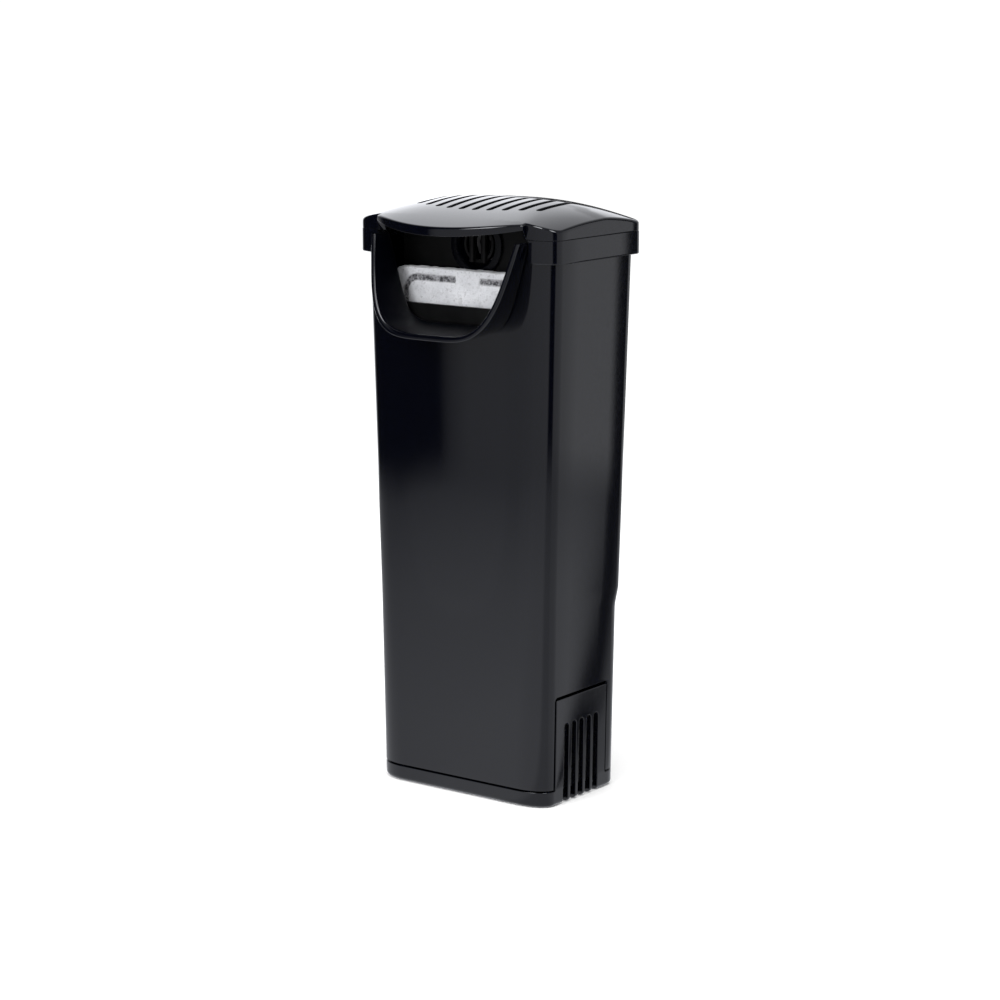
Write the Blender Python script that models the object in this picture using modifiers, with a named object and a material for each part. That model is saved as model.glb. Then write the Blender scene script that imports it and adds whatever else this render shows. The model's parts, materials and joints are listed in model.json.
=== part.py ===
"""Internal waterfall filter for an aquarium.

A tapered housing with a collar and a spout, a lift-off lid, a media cassette that lifts out of the top, and a
base tray that carries the pump and pulls off downwards. Dimensions are millimetres; meshes are made in metres.
The origin is the centre of the foot: +X is the right side, -Y the spout, +Z up.
"""

import math

import bmesh
import bpy
from mathutils import Matrix, Vector

MM = 0.001
OBJECT_NAME = "internal_power_filter"

# ---- driving dimensions --------------------------------------------------------------------------------------
GAP = 0.3                    # clearance between pieces that touch
WALL = 2.0                   # moulded wall
FRONT_CORNER = (11.0, 6.3)   # front corners of the housing, across and along: they ease into the flat front

# housing sections: height, half width, front, back, radius of the rear corners
PARTING_Z = 5.3              # top of the base tray's rim
SEAM = 0.6                   # open line between that rim and the housing
FOOT = (0.0, 35.9, -22.8, 22.0, 7.0)
LOW = (64.0, 36.9, -23.3, 22.4, 6.8)
WAIST = (70.0, 37.0, -23.2, 23.2, 5.3)
SHOULDER = (185.0, 40.0, -24.5, 24.5, 5.0)
COLLAR_TOP = 192.8
COLLAR_PROUD = 1.6
COLLAR_CORNER = (10.0, 5.2)
COLLAR_REAR = 3.9
COLLAR_END = 31.5            # the collar stops here on each side of the spout
LEAD_X = 24.5                # the mains lead leaves through a notch at the back

# spout and its window
SPOUT_TOP = 192.0
WINDOW_HALF = 30.2
WINDOW_DEPTH = 30.5
WINDOW_POWER = 7.0
WINDOW_TAPER = 0.28          # how far each side comes in for each millimetre down

# lid
LID_HALF = 41.6
LID_BACK = 25.9
LID_FRONT = -26.0
LID_BOTTOM = 193.1
LID_CORNER = (10.0, 5.3)
LID_REAR = 3.9
LID_CREST = 203.4
LID_CREST_Y = 5.0
HOOD_HALF = 30.4
HOOD_FRONT = -37.0
HOOD_CORNER_Y = -27.6
HOOD_LIFT = 0.4              # height of the hood's lower edge over the rest of the rim, in its middle
HOOD_ARCH = 2.8              # how much higher it is at its ends
LID_SLOTS = 10
LID_SLOT_PITCH = 5.55
LID_SLOT_WIDTH = 2.0

# base tray
TAB_FRONT = -16.0
TAB_BACK = 13.5
TAB_TOP = 37.0
INTAKE_SLOTS = 5
INTAKE_FIRST_Y = -9.9
INTAKE_PITCH = 4.35
INTAKE_WIDTH = 2.9
INTAKE_TOP = 28.0
TAB_GAP = 1.1                # wider line round the front and top of each tab
FLOOR_TOP = 2.2

# media cassette
LEDGE_Z = 61.5
BASKET_HALF = 33.6
BASKET_FRONT = -20.6
BASKET_BACK = 19.8
BASKET_BOTTOM = 61.8
BASKET_TOP = 176.0
SILL_Z = 168.4
BASKET_WALL = 1.6
FLOSS_HALF = 30.6
FLOSS_FRONT = -18.0
FLOSS_BACK = -13.3
FLOSS_TOP = 180.5
BAFFLE_FRONT = -11.6
BAFFLE_BACK = -10.0
RISER_Y = 9.0
RISER_R = 6.0
NOZZLE_Z = 188.5
NOZZLE_FACE_Y = -12.8
NOZZLE_TAIL_Y = -3.2
NOZZLE_R = 10.7
NOZZLE_BORE = 8.0
VANE_X = 2.5

# pump, turning about a line along Y
PUMP_Z = 27.0
MOTOR_HALF = 17.5
MOTOR_FRONT = -19.0
MOTOR_BACK = 0.8
VOLUTE_BACK = 15.5
SHAFT_R = 1.25
BORE_R = 1.55
BLADES = 6

# suction cups
CUP_X = 14.0
CUP_HEIGHTS = {"upper": 155.0, "lower": 45.0}
GLASS_Y = 32.4

# colour, roughness
FINISHES = {
    "black_gloss": ((0.006, 0.006, 0.0065), 0.12),
    "black_satin": ((0.024, 0.024, 0.026), 0.42),
    "grey_moulding": ((0.10, 0.10, 0.11), 0.40),
    "black_rubber": ((0.02, 0.02, 0.02), 0.62),
    "clear_rubber": ((0.55, 0.57, 0.56), 0.30),
    "floss_white": ((0.78, 0.78, 0.77), 0.95),
    "sponge_black": ((0.05, 0.05, 0.055), 0.95),
    "sponge_blue": ((0.10, 0.22, 0.42), 0.95),
    "carbon_bag": ((0.16, 0.16, 0.16), 0.90),
    "bioceramic": ((0.62, 0.52, 0.42), 0.90),
    "white_ceramic": ((0.80, 0.79, 0.76), 0.22),
    "ferrite": ((0.06, 0.055, 0.05), 0.45),
    "steel": ((0.60, 0.60, 0.60), 0.28),
}


# ---- tools ---------------------------------------------------------------------------------------------------
def clear_scene():
    for obj in list(bpy.data.objects):
        bpy.data.objects.remove(obj, do_unlink=True)


def make_collection(name):
    collection = bpy.data.collections.new(name)
    bpy.context.scene.collection.children.link(collection)
    return collection


def make_material(name, finish):
    colour, roughness = FINISHES[finish]
    material = bpy.data.materials.new(name)
    material.use_nodes = True
    shader = material.node_tree.nodes["Principled BSDF"]
    shader.inputs["Base Color"].default_value = (*colour, 1.0)
    shader.inputs["Roughness"].default_value = roughness
    shader.inputs["Metallic"].default_value = 1.0 if finish == "steel" else 0.0
    return material


def add_object(name, bm, collection):
    """Close a bmesh in millimetres into an object in metres."""
    bmesh.ops.recalc_face_normals(bm, faces=bm.faces)
    bm.transform(Matrix.Scale(MM, 4))
    mesh = bpy.data.meshes.new(name)
    bm.to_mesh(mesh)
    bm.free()
    obj = bpy.data.objects.new(name, mesh)
    collection.objects.link(obj)
    return obj


def part(name, bm, finish):
    obj = add_object(name, bm, PARTS)
    obj.data.materials.append(make_material(name, finish))
    obj.data.shade_smooth()
    obj.data.set_sharp_from_angle(angle=math.radians(30))
    return obj


def cutter(name, bm):
    obj = add_object(name, bm, CUTTERS)
    obj.hide_render = True
    obj.display_type = "WIRE"
    return obj


def combine(obj, other, operation):
    boolean = obj.modifiers.new(f"{operation.lower()}_{other.name}", "BOOLEAN")
    boolean.operation = operation
    boolean.object = other


def cut(obj, *cutters):
    for other in cutters:
        combine(obj, other, "DIFFERENCE")


def join(obj, *additions):
    for other in additions:
        combine(obj, other, "UNION")


def box(bm, low, high, radius=0.0, along="Z", segments=3):
    """A block between two corners; radius rounds the four edges that run along one axis."""
    low, high = Vector(low), Vector(high)
    size, middle = high - low, (high + low) / 2
    matrix = Matrix.Translation(middle) @ Matrix.Diagonal((*size, 1.0))
    verts = bmesh.ops.create_cube(bm, size=1.0, matrix=matrix)["verts"]
    if radius:
        axis = "XYZ".index(along)
        corners = set(verts)
        edges = [edge for edge in bm.edges if corners.issuperset(edge.verts)]
        rounded = [e for e in edges if abs((e.verts[0].co - e.verts[1].co)[axis]) > 1e-6]
        bmesh.ops.bevel(bm, geom=rounded, offset=radius, segments=segments, profile=0.5, affect="EDGES")
    return bm


AXIS_TURN = {
    "X": Matrix.Rotation(math.pi / 2, 4, "Y"),
    "Y": Matrix.Rotation(-math.pi / 2, 4, "X"),
    "Z": Matrix.Identity(4),
}


def rod(bm, centre, radius, length, axis="Z", segments=24, top_radius=None):
    """A cylinder or cone that starts at centre and runs along an axis."""
    start = Matrix.Translation(Vector(centre))
    lift = Matrix.Translation((0, 0, length / 2))
    bmesh.ops.create_cone(
        bm, cap_ends=True, segments=segments, radius1=radius, depth=length,
        radius2=radius if top_radius is None else top_radius, matrix=start @ AXIS_TURN[axis] @ lift)
    return bm


def prism(bm, outline, axis, low, high):
    """Extrude a flat outline along an axis: (y, z) for X, (x, z) for Y and (x, y) for Z."""
    order = {"X": (2, 0, 1), "Y": (0, 2, 1), "Z": (0, 1, 2)}[axis]

    def place(*uvw):
        return [uvw[i] for i in order]

    face = bm.faces.new([bm.verts.new(place(u, v, low)) for u, v in outline])
    extruded = bmesh.ops.extrude_face_region(bm, geom=[face])["geom"]
    moved = [item for item in extruded if isinstance(item, bmesh.types.BMVert)]
    bmesh.ops.translate(bm, verts=moved, vec=Vector(place(0, 0, high - low)))
    return bm


def loft(bm, rings):
    """Join closed rings of equal length into one solid with flat ends."""
    loops = [[bm.verts.new(point) for point in ring] for ring in rings]
    for below, above in zip(loops, loops[1:]):
        for i, _ in enumerate(below):
            j = (i + 1) % len(below)
            bm.faces.new((below[i], below[j], above[j], above[i]))
    bm.faces.new(loops[0])
    bm.faces.new(loops[-1])
    return bm


def arc(centre, radius, start, end, steps):
    """Points of an arc between two angles in degrees."""
    angles = [math.radians(start + (end - start) * i / steps) for i in range(steps + 1)]
    return [(centre[0] + radius * math.cos(a), centre[1] + radius * math.sin(a)) for a in angles]


def quarter(centre, across, along, start, steps):
    """A quarter of an ellipse, anticlockwise from an angle in degrees."""
    angles = [math.radians(start + 90 * i / steps) for i in range(steps + 1)]
    return [(centre[0] + across * math.cos(a), centre[1] + along * math.sin(a)) for a in angles]


def rounded_outline(half, front, back, corner, rear):
    """Anticlockwise outline whose front corners are elliptical and whose rear corners are round."""
    across, along = corner
    points = []
    points += quarter((half - rear, back - rear), rear, rear, 0, 4)
    points += quarter((rear - half, back - rear), rear, rear, 90, 4)
    points += quarter((across - half, front + along), across, along, 180, 6)
    points += quarter((half - across, front + along), across, along, 270, 6)
    return points


def capsule_outline(x, low, high, width, steps=4):
    """A slot with round ends, running from low to high in the second coordinate."""
    radius = width / 2
    top = arc((x, high - radius), radius, 0, 180, steps)
    return top + arc((x, low + radius), radius, 180, 360, steps)


def body_section(z, inset=0.0):
    """Half width, front, back and rear radius of the housing at a height, moved in by an inset."""
    stations = (FOOT, LOW, WAIST, SHOULDER)
    for below, above in zip(stations, stations[1:]):
        if z <= above[0] or above is SHOULDER:
            t = (z - below[0]) / (above[0] - below[0])
            half, front, back, rear = (a + (b - a) * t for a, b in zip(below[1:], above[1:]))
            return half - inset, front + inset, back - inset, rear - inset


def body_ring(z, inset=0.0):
    half, front, back, rear = body_section(z, inset)
    corner = [size - inset for size in FRONT_CORNER]
    return [(x, y, z) for x, y in rounded_outline(half, front, back, corner, rear)]


def turned(name, profile, finish, location=(0, 0, 0), axis="Z", steps=24):
    """Turn a profile of (radius, height) points, given down its outer side, about an axis."""
    bm = bmesh.new()
    verts = [bm.verts.new((radius, 0, height)) for radius, height in profile]
    closed = profile[0][0] > 0
    for i in range(len(verts) if closed else len(verts) - 1):
        bm.edges.new((verts[i], verts[(i + 1) % len(verts)]))
    bm.transform(Matrix.Scale(MM, 4))
    mesh = bpy.data.meshes.new(name)
    bm.to_mesh(mesh)
    bm.free()
    obj = bpy.data.objects.new(name, mesh)
    PARTS.objects.link(obj)
    obj.data.materials.append(make_material(name, finish))
    obj.matrix_world = Matrix.Translation(Vector(location) * MM) @ AXIS_TURN[axis]
    screw = obj.modifiers.new("turn", "SCREW")
    screw.steps = steps
    screw.render_steps = steps
    screw.use_merge_vertices = True
    screw.merge_threshold = 0.00001
    screw.use_smooth_shade = True
    return obj


def spout_curve(half, depth, power, taper, steps):
    """A U of given half width and depth below the spout's top, from its right tip to its left tip."""
    points = []
    for i in range(steps + 1):
        angle = math.pi * i / steps
        across = math.copysign(abs(math.cos(angle)) ** (2 / power), math.cos(angle))
        down = depth * math.sin(angle) ** (2 / power)
        points.append(((half - taper * down) * across, SPOUT_TOP - down))
    return points


# ---- housing -------------------------------------------------------------------------------------------------
def make_body_shell():
    collar_half = SHOULDER[1] + COLLAR_PROUD
    collar = [SHOULDER[2] - COLLAR_PROUD, SHOULDER[3] + COLLAR_PROUD, COLLAR_CORNER, COLLAR_REAR]
    rings = [body_ring(z) for z in (PARTING_Z + SEAM, LOW[0], WAIST[0], SHOULDER[0])]
    for z in (SHOULDER[0], COLLAR_TOP):
        rings.append([(x, y, z) for x, y in rounded_outline(collar_half, *collar)])
    shell = part("body_shell", loft(bmesh.new(), rings), "black_gloss")

    inside = [body_ring(z, WALL) for z in (-5.0, LOW[0], WAIST[0], SHOULDER[0], 200.0)]
    cavity = cutter("housing_cavity", loft(bmesh.new(), inside))

    window = spout_curve(WINDOW_HALF, WINDOW_DEPTH, WINDOW_POWER, WINDOW_TAPER, 24)
    window = [(WINDOW_HALF, 200.0)] + window + [(-WINDOW_HALF, 200.0)]
    spout_window = cutter("spout_window", prism(bmesh.new(), window, "Y", -40.0, -15.0))
    front_gap = box(bmesh.new(), (-COLLAR_END, -40, SHOULDER[0] - 0.5), (COLLAR_END, -24.6, 200))
    collar_gap = cutter("collar_gap", front_gap)

    tabs = bmesh.new()
    for side in (-1, 1):
        low_x, high_x = sorted((side * 30.0, side * 45.0))
        box(tabs, (low_x, TAB_FRONT - TAB_GAP, -5), (high_x, TAB_BACK + GAP, TAB_TOP + TAB_GAP))
    tab_openings = cutter("tab_openings", tabs)
    notch_low, notch_high = (LEAD_X - 4.5, 15, 186), (LEAD_X + 4.5, 35, 200)
    notch = cutter("lead_notch", box(bmesh.new(), notch_low, notch_high))

    ledges = bmesh.new()
    for side in (-1, 1):
        low_x, high_x = sorted((side * 32.0, side * 36.0))
        box(ledges, (low_x, -9, LEDGE_Z - 3.5), (high_x, 9, LEDGE_Z))
    basket_ledges = cutter("basket_ledges", ledges)
    bosses = bmesh.new()
    sockets = bmesh.new()
    for z in CUP_HEIGHTS.values():
        face = body_section(z)[2]
        for side in (-1, 1):
            rod(bosses, (side * CUP_X, face - 1.2, z), 5.2, 4.2, "Y", 20)
            rod(sockets, (side * CUP_X, face - 0.9, z), 2.5, 8, "Y", 16)
    cut(shell, cavity, spout_window, collar_gap, tab_openings, notch)
    join(shell, basket_ledges, cutter("cup_bosses", bosses))
    cut(shell, cutter("cup_sockets", sockets))


def make_spout_scoop():
    steps = 24
    face = -24.85                    # back of the flange, just clear of the housing
    # half width, depth, power, taper, y at the tip and how far it comes forward for each millimetre down,
    # in order round the scoop's wall
    rows = (
        (29.9, 30.2, 7.0, 0.280, -22.9, 0.0),
        (29.9, 30.2, 7.0, 0.280, face, 0.0),
        (31.2, 31.6, 6.0, 0.280, face, 0.0),
        (31.1, 32.3, 5.2, 0.240, -27.2, 0.10),
        (30.9, 33.2, 4.4, 0.200, -29.7, 0.27),
        (30.5, 32.9, 4.3, 0.198, -30.4, 0.289),
        (29.4, 31.7, 4.3, 0.198, -30.4, 0.289),
        (29.0, 31.2, 4.4, 0.200, -29.7, 0.27),
        (28.7, 29.8, 5.2, 0.250, -26.2, 0.06),
        (28.6, 29.0, 7.0, 0.280, -22.9, 0.0),
    )
    curves = [spout_curve(half, depth, power, taper, steps) for half, depth, power, taper, _, _ in rows]
    rings = []
    for i in range(steps + 1):
        ring = []
        for curve, (_, _, _, _, tip_y, lean) in zip(curves, rows):
            x, z = curve[i]
            ring.append((x, tip_y - lean * (SPOUT_TOP - z), z))
        rings.append(ring)
    part("spout_scoop", loft(bmesh.new(), rings), "black_gloss")


def make_suction_cups():
    for level, z in CUP_HEIGHTS.items():
        face = body_section(z)[2]
        reach = GLASS_Y - face
        for word, side in (("left", -1), ("right", 1)):
            profile = [
                (0.0, reach - 2.2), (4.5, reach - 1.7), (9.2, reach), (10.0, reach), (9.4, reach - 1.3),
                (5.6, reach - 4.0), (4.2, 3.6), (2.1, 3.6), (2.1, -0.4), (0.0, -0.4),
            ]
            turned(f"suction_cup_{level}_{word}", profile, "clear_rubber", (side * CUP_X, face, z), "Y", 24)


def make_cable_grommet():
    half = 4.1
    block = box(bmesh.new(), (LEAD_X - half, 21.9, 186.4), (LEAD_X + half, 26.9, 192.6), 1.2, "Y")
    grommet = part("cable_grommet", block, "black_rubber")
    bore = cutter("grommet_bore", rod(bmesh.new(), (LEAD_X, 15, 189.6), 2.2, 20, "Y", 16))
    cut(grommet, bore)


# ---- lid -----------------------------------------------------------------------------------------------------
def lid_height(x, y):
    """Top of the lid above a point of its plan."""
    ahead = max(LID_CREST_Y - y, 0.0) / (LID_CREST_Y - HOOD_FRONT)
    behind = max(y - LID_CREST_Y, 0.0) / (LID_BACK - LID_CREST_Y)
    fall = 7.2 * ahead ** 1.6 + 1.9 * behind ** 2
    across = abs(x) / LID_HALF
    front, middle, rear = 3.9 * across ** 5.5, 5.0 * across ** 3.3, 5.9 * across ** 1.8
    side = middle + (rear - middle) * behind
    side += (front - side) * min(max(-y, 0.0) / 26.0, 1.0)
    return LID_CREST - fall - side


def lid_bottom(x, y):
    """Lower edge of the lid's rim: the hood's is arched."""
    share = min(max((LID_FRONT - y) / (LID_FRONT - HOOD_CORNER_Y), 0.0), 1.0)
    return LID_BOTTOM + (HOOD_LIFT + HOOD_ARCH * (x / HOOD_HALF) ** 2) * share


def lid_outline():
    """Plan of the lid with its curved hood, anticlockwise from the middle of the back."""
    rear = LID_REAR
    across, along = LID_CORNER
    sagitta = HOOD_CORNER_Y - HOOD_FRONT
    hood_radius = (HOOD_HALF ** 2 + sagitta ** 2) / (2 * sagitta)
    half_angle = math.degrees(math.asin(HOOD_HALF / hood_radius))
    left = [(-i * (LID_HALF - rear) / 4, LID_BACK) for i in range(4)]
    left += quarter((rear - LID_HALF, LID_BACK - rear), rear, rear, 90, 4)
    left += [(-LID_HALF, 8.0), (-LID_HALF, -1.0), (-LID_HALF, -10.0)]
    left += quarter((across - LID_HALF, LID_FRONT + along), across, along, 180, 6)
    left.append((-HOOD_HALF - 0.1, LID_FRONT))
    left += arc((0, HOOD_FRONT + hood_radius), hood_radius, 270 - half_angle, 270, 8)
    right = [(-x, y) for x, y in reversed(left[1:-1])]
    return left + right


def make_lid():
    outline = lid_outline()
    focus = Vector((0.0, -2.0))
    bm = bmesh.new()

    def ring(height, share=1.0, inset=0.0):
        verts = []
        for edge in outline:
            reach = Vector(edge) - focus
            spot = focus + reach * share - reach.normalized() * inset
            verts.append(bm.verts.new((*spot, height(spot, edge))))
        return verts

    def rim(spot, edge):
        return lid_bottom(*edge)

    def shoulder(spot, edge):
        return lid_height(*spot) - 0.9

    def top(spot, edge):
        return lid_height(*spot)

    def ceiling(spot, edge):
        return max(lid_height(*spot) - WALL, lid_bottom(*edge) + 0.4)

    shares = (0.28, 0.52, 0.72, 0.88)
    loops = [ring(ceiling, share) for share in shares]
    loops += [ring(ceiling, inset=WALL), ring(rim, inset=WALL), ring(rim), ring(shoulder), ring(top, 0.975)]
    loops += [ring(top, share) for share in reversed(shares)]
    for lower, upper in zip(loops, loops[1:]):
        for i, _ in enumerate(lower):
            j = (i + 1) % len(lower)
            bm.faces.new((lower[i], lower[j], upper[j], upper[i]))
    crest = lid_height(*focus)
    for loop, height in ((loops[0], crest - WALL), (loops[-1], crest)):
        middle = bm.verts.new((*focus, height))
        for i, vert in enumerate(loop):
            bm.faces.new((vert, loop[(i + 1) % len(loop)], middle))
    lid = part("lid", bm, "black_gloss")

    slots = bmesh.new()
    for i in range(LID_SLOTS):
        x = (i - (LID_SLOTS - 1) / 2) * LID_SLOT_PITCH
        front, back = -17.7 + 0.0095 * x * x, 13.0 - 0.004 * x * x
        prism(slots, capsule_outline(x, front, back, LID_SLOT_WIDTH), "Z", 180.0, 220.0)
    lips = bmesh.new()
    for side in (-1, 1):
        low_x, high_x = sorted((side * 36.1, side * 37.4))
        box(lips, (low_x, -13, 189.8), (high_x, 13, 198.5))
    cut(lid, cutter("lid_slots", slots))
    join(lid, cutter("lid_lips", lips))


# ---- media cassette ------------------------------------------------------------------------------------------
def make_media_basket():
    corner = 4.5
    tight = corner - BASKET_WALL
    outer = rounded_outline(BASKET_HALF, BASKET_FRONT, BASKET_BACK, (corner, corner), corner)
    inner = rounded_outline(BASKET_HALF - BASKET_WALL, BASKET_FRONT + BASKET_WALL, BASKET_BACK - BASKET_WALL,
                            (tight, tight), tight)
    basket = part("media_basket", prism(bmesh.new(), outer, "Z", BASKET_BOTTOM, BASKET_TOP), "black_satin")
    hollow = cutter("basket_hollow", prism(bmesh.new(), inner, "Z", BASKET_BOTTOM + BASKET_WALL, 200))
    dip = cutter("basket_front_dip", box(bmesh.new(), (-31, -30, SILL_Z), (31, -17.5, 200)))
    holes = rod(bmesh.new(), (0, RISER_Y, 50), RISER_R + 0.4, 20, "Z", 24)
    for x in (-24.0, -16.0, 16.0, 24.0):
        for y in (-4.0, 4.0, 12.0):
            box(holes, (x - 2.2, y - 2.2, 50), (x + 2.2, y + 2.2, 70))
    cut(basket, hollow, dip, cutter("basket_floor_holes", holes))


def make_baffle_panel():
    floor = BASKET_BOTTOM + BASKET_WALL + GAP
    half = BASKET_HALF - BASKET_WALL - GAP
    panel = part("baffle_panel", box(bmesh.new(), (-half, BAFFLE_FRONT, floor), (half, BAFFLE_BACK, 196.4)),
                 "black_satin")
    cut(panel, cutter("nozzle_hole", rod(bmesh.new(), (0, -20, NOZZLE_Z), 8.1, 20, "Y", 28)))


def soft_block(name, low, high, finish, riser_hole):
    block = part(name, box(bmesh.new(), low, high, 2.5), finish)
    if riser_hole:
        hole = rod(bmesh.new(), (0, RISER_Y, low[2] - 5), RISER_R + 0.4, high[2] - low[2] + 10, "Z", 20)
        cut(block, cutter(f"{name}_hole", hole))


def make_media():
    floor = BASKET_BOTTOM + BASKET_WALL + GAP
    half = BASKET_HALF - BASKET_WALL - 0.6
    front, back = BAFFLE_BACK + 0.5, BASKET_BACK - BASKET_WALL - 0.5
    floss_low = (-FLOSS_HALF, FLOSS_FRONT, floor + 1.0)
    floss = box(bmesh.new(), floss_low, (FLOSS_HALF, FLOSS_BACK, FLOSS_TOP), 3.0, "Y")
    part("floss_pad", floss, "floss_white")
    soft_block("coarse_sponge", (-half, front, floor), (half, back, 103.5), "sponge_black", True)
    soft_block("fine_sponge", (-half, front, 151.0), (half, back, 173.0), "sponge_blue", True)
    soft_block("carbon_pouch_left", (-half, front, 127.5), (-8.0, back, 150.5), "carbon_bag", False)
    soft_block("carbon_pouch_right", (8.0, front, 127.5), (half, back, 150.5), "carbon_bag", False)
    make_ceramic_rings()


def ceramic_ring_places():
    return [(x, y) for x in (-25.0, -11.5, 11.5, 25.0) for y in (-3.0, 11.5)]


def make_ceramic_rings():
    for number, (x, y) in enumerate(ceramic_ring_places(), 1):
        profile = [(5.9, 20.0), (5.9, 0.0), (2.8, 0.0), (2.8, 20.0)]
        turned(f"ceramic_ring_{number}", profile, "bioceramic", (x, y, 105.0), "Z", 14)


def make_riser_tube():
    bend = 12.0
    top_y = RISER_Y - bend
    path = [(RISER_Y, 52.6), (RISER_Y, NOZZLE_Z - bend)]
    path += arc((top_y, NOZZLE_Z - bend), bend, 0, 90, 8)[1:]
    path.append((-1.5 + top_y, NOZZLE_Z))
    curve = bpy.data.curves.new("riser_tube", "CURVE")
    curve.dimensions = "3D"
    curve.bevel_depth = RISER_R * MM
    curve.bevel_resolution = 3
    curve.use_fill_caps = False
    spline = curve.splines.new("POLY")
    spline.points.add(len(path) - 1)
    for point, (y, z) in zip(spline.points, path):
        point.co = (0.0, y * MM, z * MM, 1.0)
    guide = bpy.data.objects.new("riser_guide", curve)
    PARTS.objects.link(guide)
    evaluated = guide.evaluated_get(bpy.context.evaluated_depsgraph_get())
    mesh = bpy.data.meshes.new_from_object(evaluated)
    bpy.data.objects.remove(guide, do_unlink=True)
    bm = bmesh.new()
    bm.from_mesh(mesh)
    bmesh.ops.remove_doubles(bm, verts=bm.verts, dist=0.00001)
    bm.transform(Matrix.Scale(1 / MM, 4))
    tube = part("riser_tube", bm, "grey_moulding")
    wall = tube.modifiers.new("wall", "SOLIDIFY")
    wall.thickness = 1.5 * MM
    wall.offset = -1.0
    wall.use_even_offset = True


def make_nozzle():
    length = NOZZLE_TAIL_Y - NOZZLE_FACE_Y
    profile = [
        (NOZZLE_R - 0.5, length), (NOZZLE_R, length - 0.5), (NOZZLE_R, length - 0.9), (7.8, length - 0.9),
        (7.7, 0.0), (6.3, 0.0), (6.3, length - 7.4), (NOZZLE_BORE - 1.6, length - 5.5),
        (NOZZLE_BORE - 1.2, length - 4), (NOZZLE_BORE, length),
    ]
    nozzle = turned("outlet_nozzle", profile, "black_gloss", steps=28)
    towards_spout = Matrix.Rotation(math.pi / 2, 4, "X")
    nozzle.matrix_world = Matrix.Translation(Vector((0, NOZZLE_TAIL_Y, NOZZLE_Z)) * MM) @ towards_spout


def make_vanes():
    back = NOZZLE_FACE_Y + 3.4
    ring = rod(bmesh.new(), (0, back - 1.6, NOZZLE_Z), 6.2, 1.6, "Y", 24)
    vanes = part("outlet_vanes", ring, "black_satin")
    bore = cutter("vane_bore", rod(bmesh.new(), (0, back - 10, NOZZLE_Z), 5.3, 20, "Y", 24))
    slats = bmesh.new()
    reach = 6.0
    for x in (-VANE_X, VANE_X):
        box(slats, (x - 1.0, NOZZLE_FACE_Y + 0.6, NOZZLE_Z - reach), (x + 1.0, back - 0.2, NOZZLE_Z + reach))
    cut(vanes, bore)
    join(vanes, cutter("vane_slats", slats))


# ---- base tray and pump --------------------------------------------------------------------------------------
def make_base_tray():
    rounding = ((0.0, 1.5), (0.22, 0.75), (0.75, 0.22), (1.5, 0.0), (TAB_TOP, 0.0))
    rings = [body_ring(z, inset) for z, inset in rounding]
    tray = part("base_tray", loft(bmesh.new(), rings), "black_gloss")
    inside = [body_ring(z, WALL) for z in (FLOOR_TOP, 45.0)]
    ends = bmesh.new()
    box(ends, (-50, -40, PARTING_Z), (50, TAB_FRONT, 60))
    box(ends, (-50, TAB_BACK, PARTING_Z), (50, 40, 60))
    slots = bmesh.new()
    for i in range(INTAKE_SLOTS):
        outline = capsule_outline(INTAKE_FIRST_Y + i * INTAKE_PITCH, -8.0, INTAKE_TOP, INTAKE_WIDTH)
        prism(slots, outline, "X", 32.4, 45.0)
        prism(slots, outline, "X", -45.0, -32.4)
    cradle = bmesh.new()
    for x in (-11.0, 11.0):
        box(cradle, (x - 1.5, -17, FLOOR_TOP - 1), (x + 1.5, -1, 7.2))
    cut(tray, cutter("tray_hollow", loft(bmesh.new(), inside)), cutter("tray_ends", ends))
    cut(tray, cutter("intake_slots", slots))
    join(tray, cutter("motor_cradle", cradle))


def screw_places():
    reach = 13.2
    return [(x, PUMP_Z + z) for x in (-reach, reach) for z in (-reach, reach)]


def make_motor_housing():
    low = (-MOTOR_HALF, MOTOR_FRONT, PUMP_Z - MOTOR_HALF - 2.0)
    high = (MOTOR_HALF, MOTOR_BACK, PUMP_Z + MOTOR_HALF + 2.0)
    motor = part("motor_housing", box(bmesh.new(), low, high, 4.0, "Y"), "black_satin")
    well = rod(bmesh.new(), (0, -13.0, PUMP_Z), 7.8, 20, "Y", 24)
    seat = rod(bmesh.new(), (0, -15.9, PUMP_Z), 3.3, 10, "Y", 16)
    threads = bmesh.new()
    for x, z in screw_places():
        rod(threads, (x, -6.5, z), 1.5, 20, "Y", 12)
    cut(motor, cutter("rotor_well", well), cutter("bush_seat", seat), cutter("screw_threads", threads))


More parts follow.
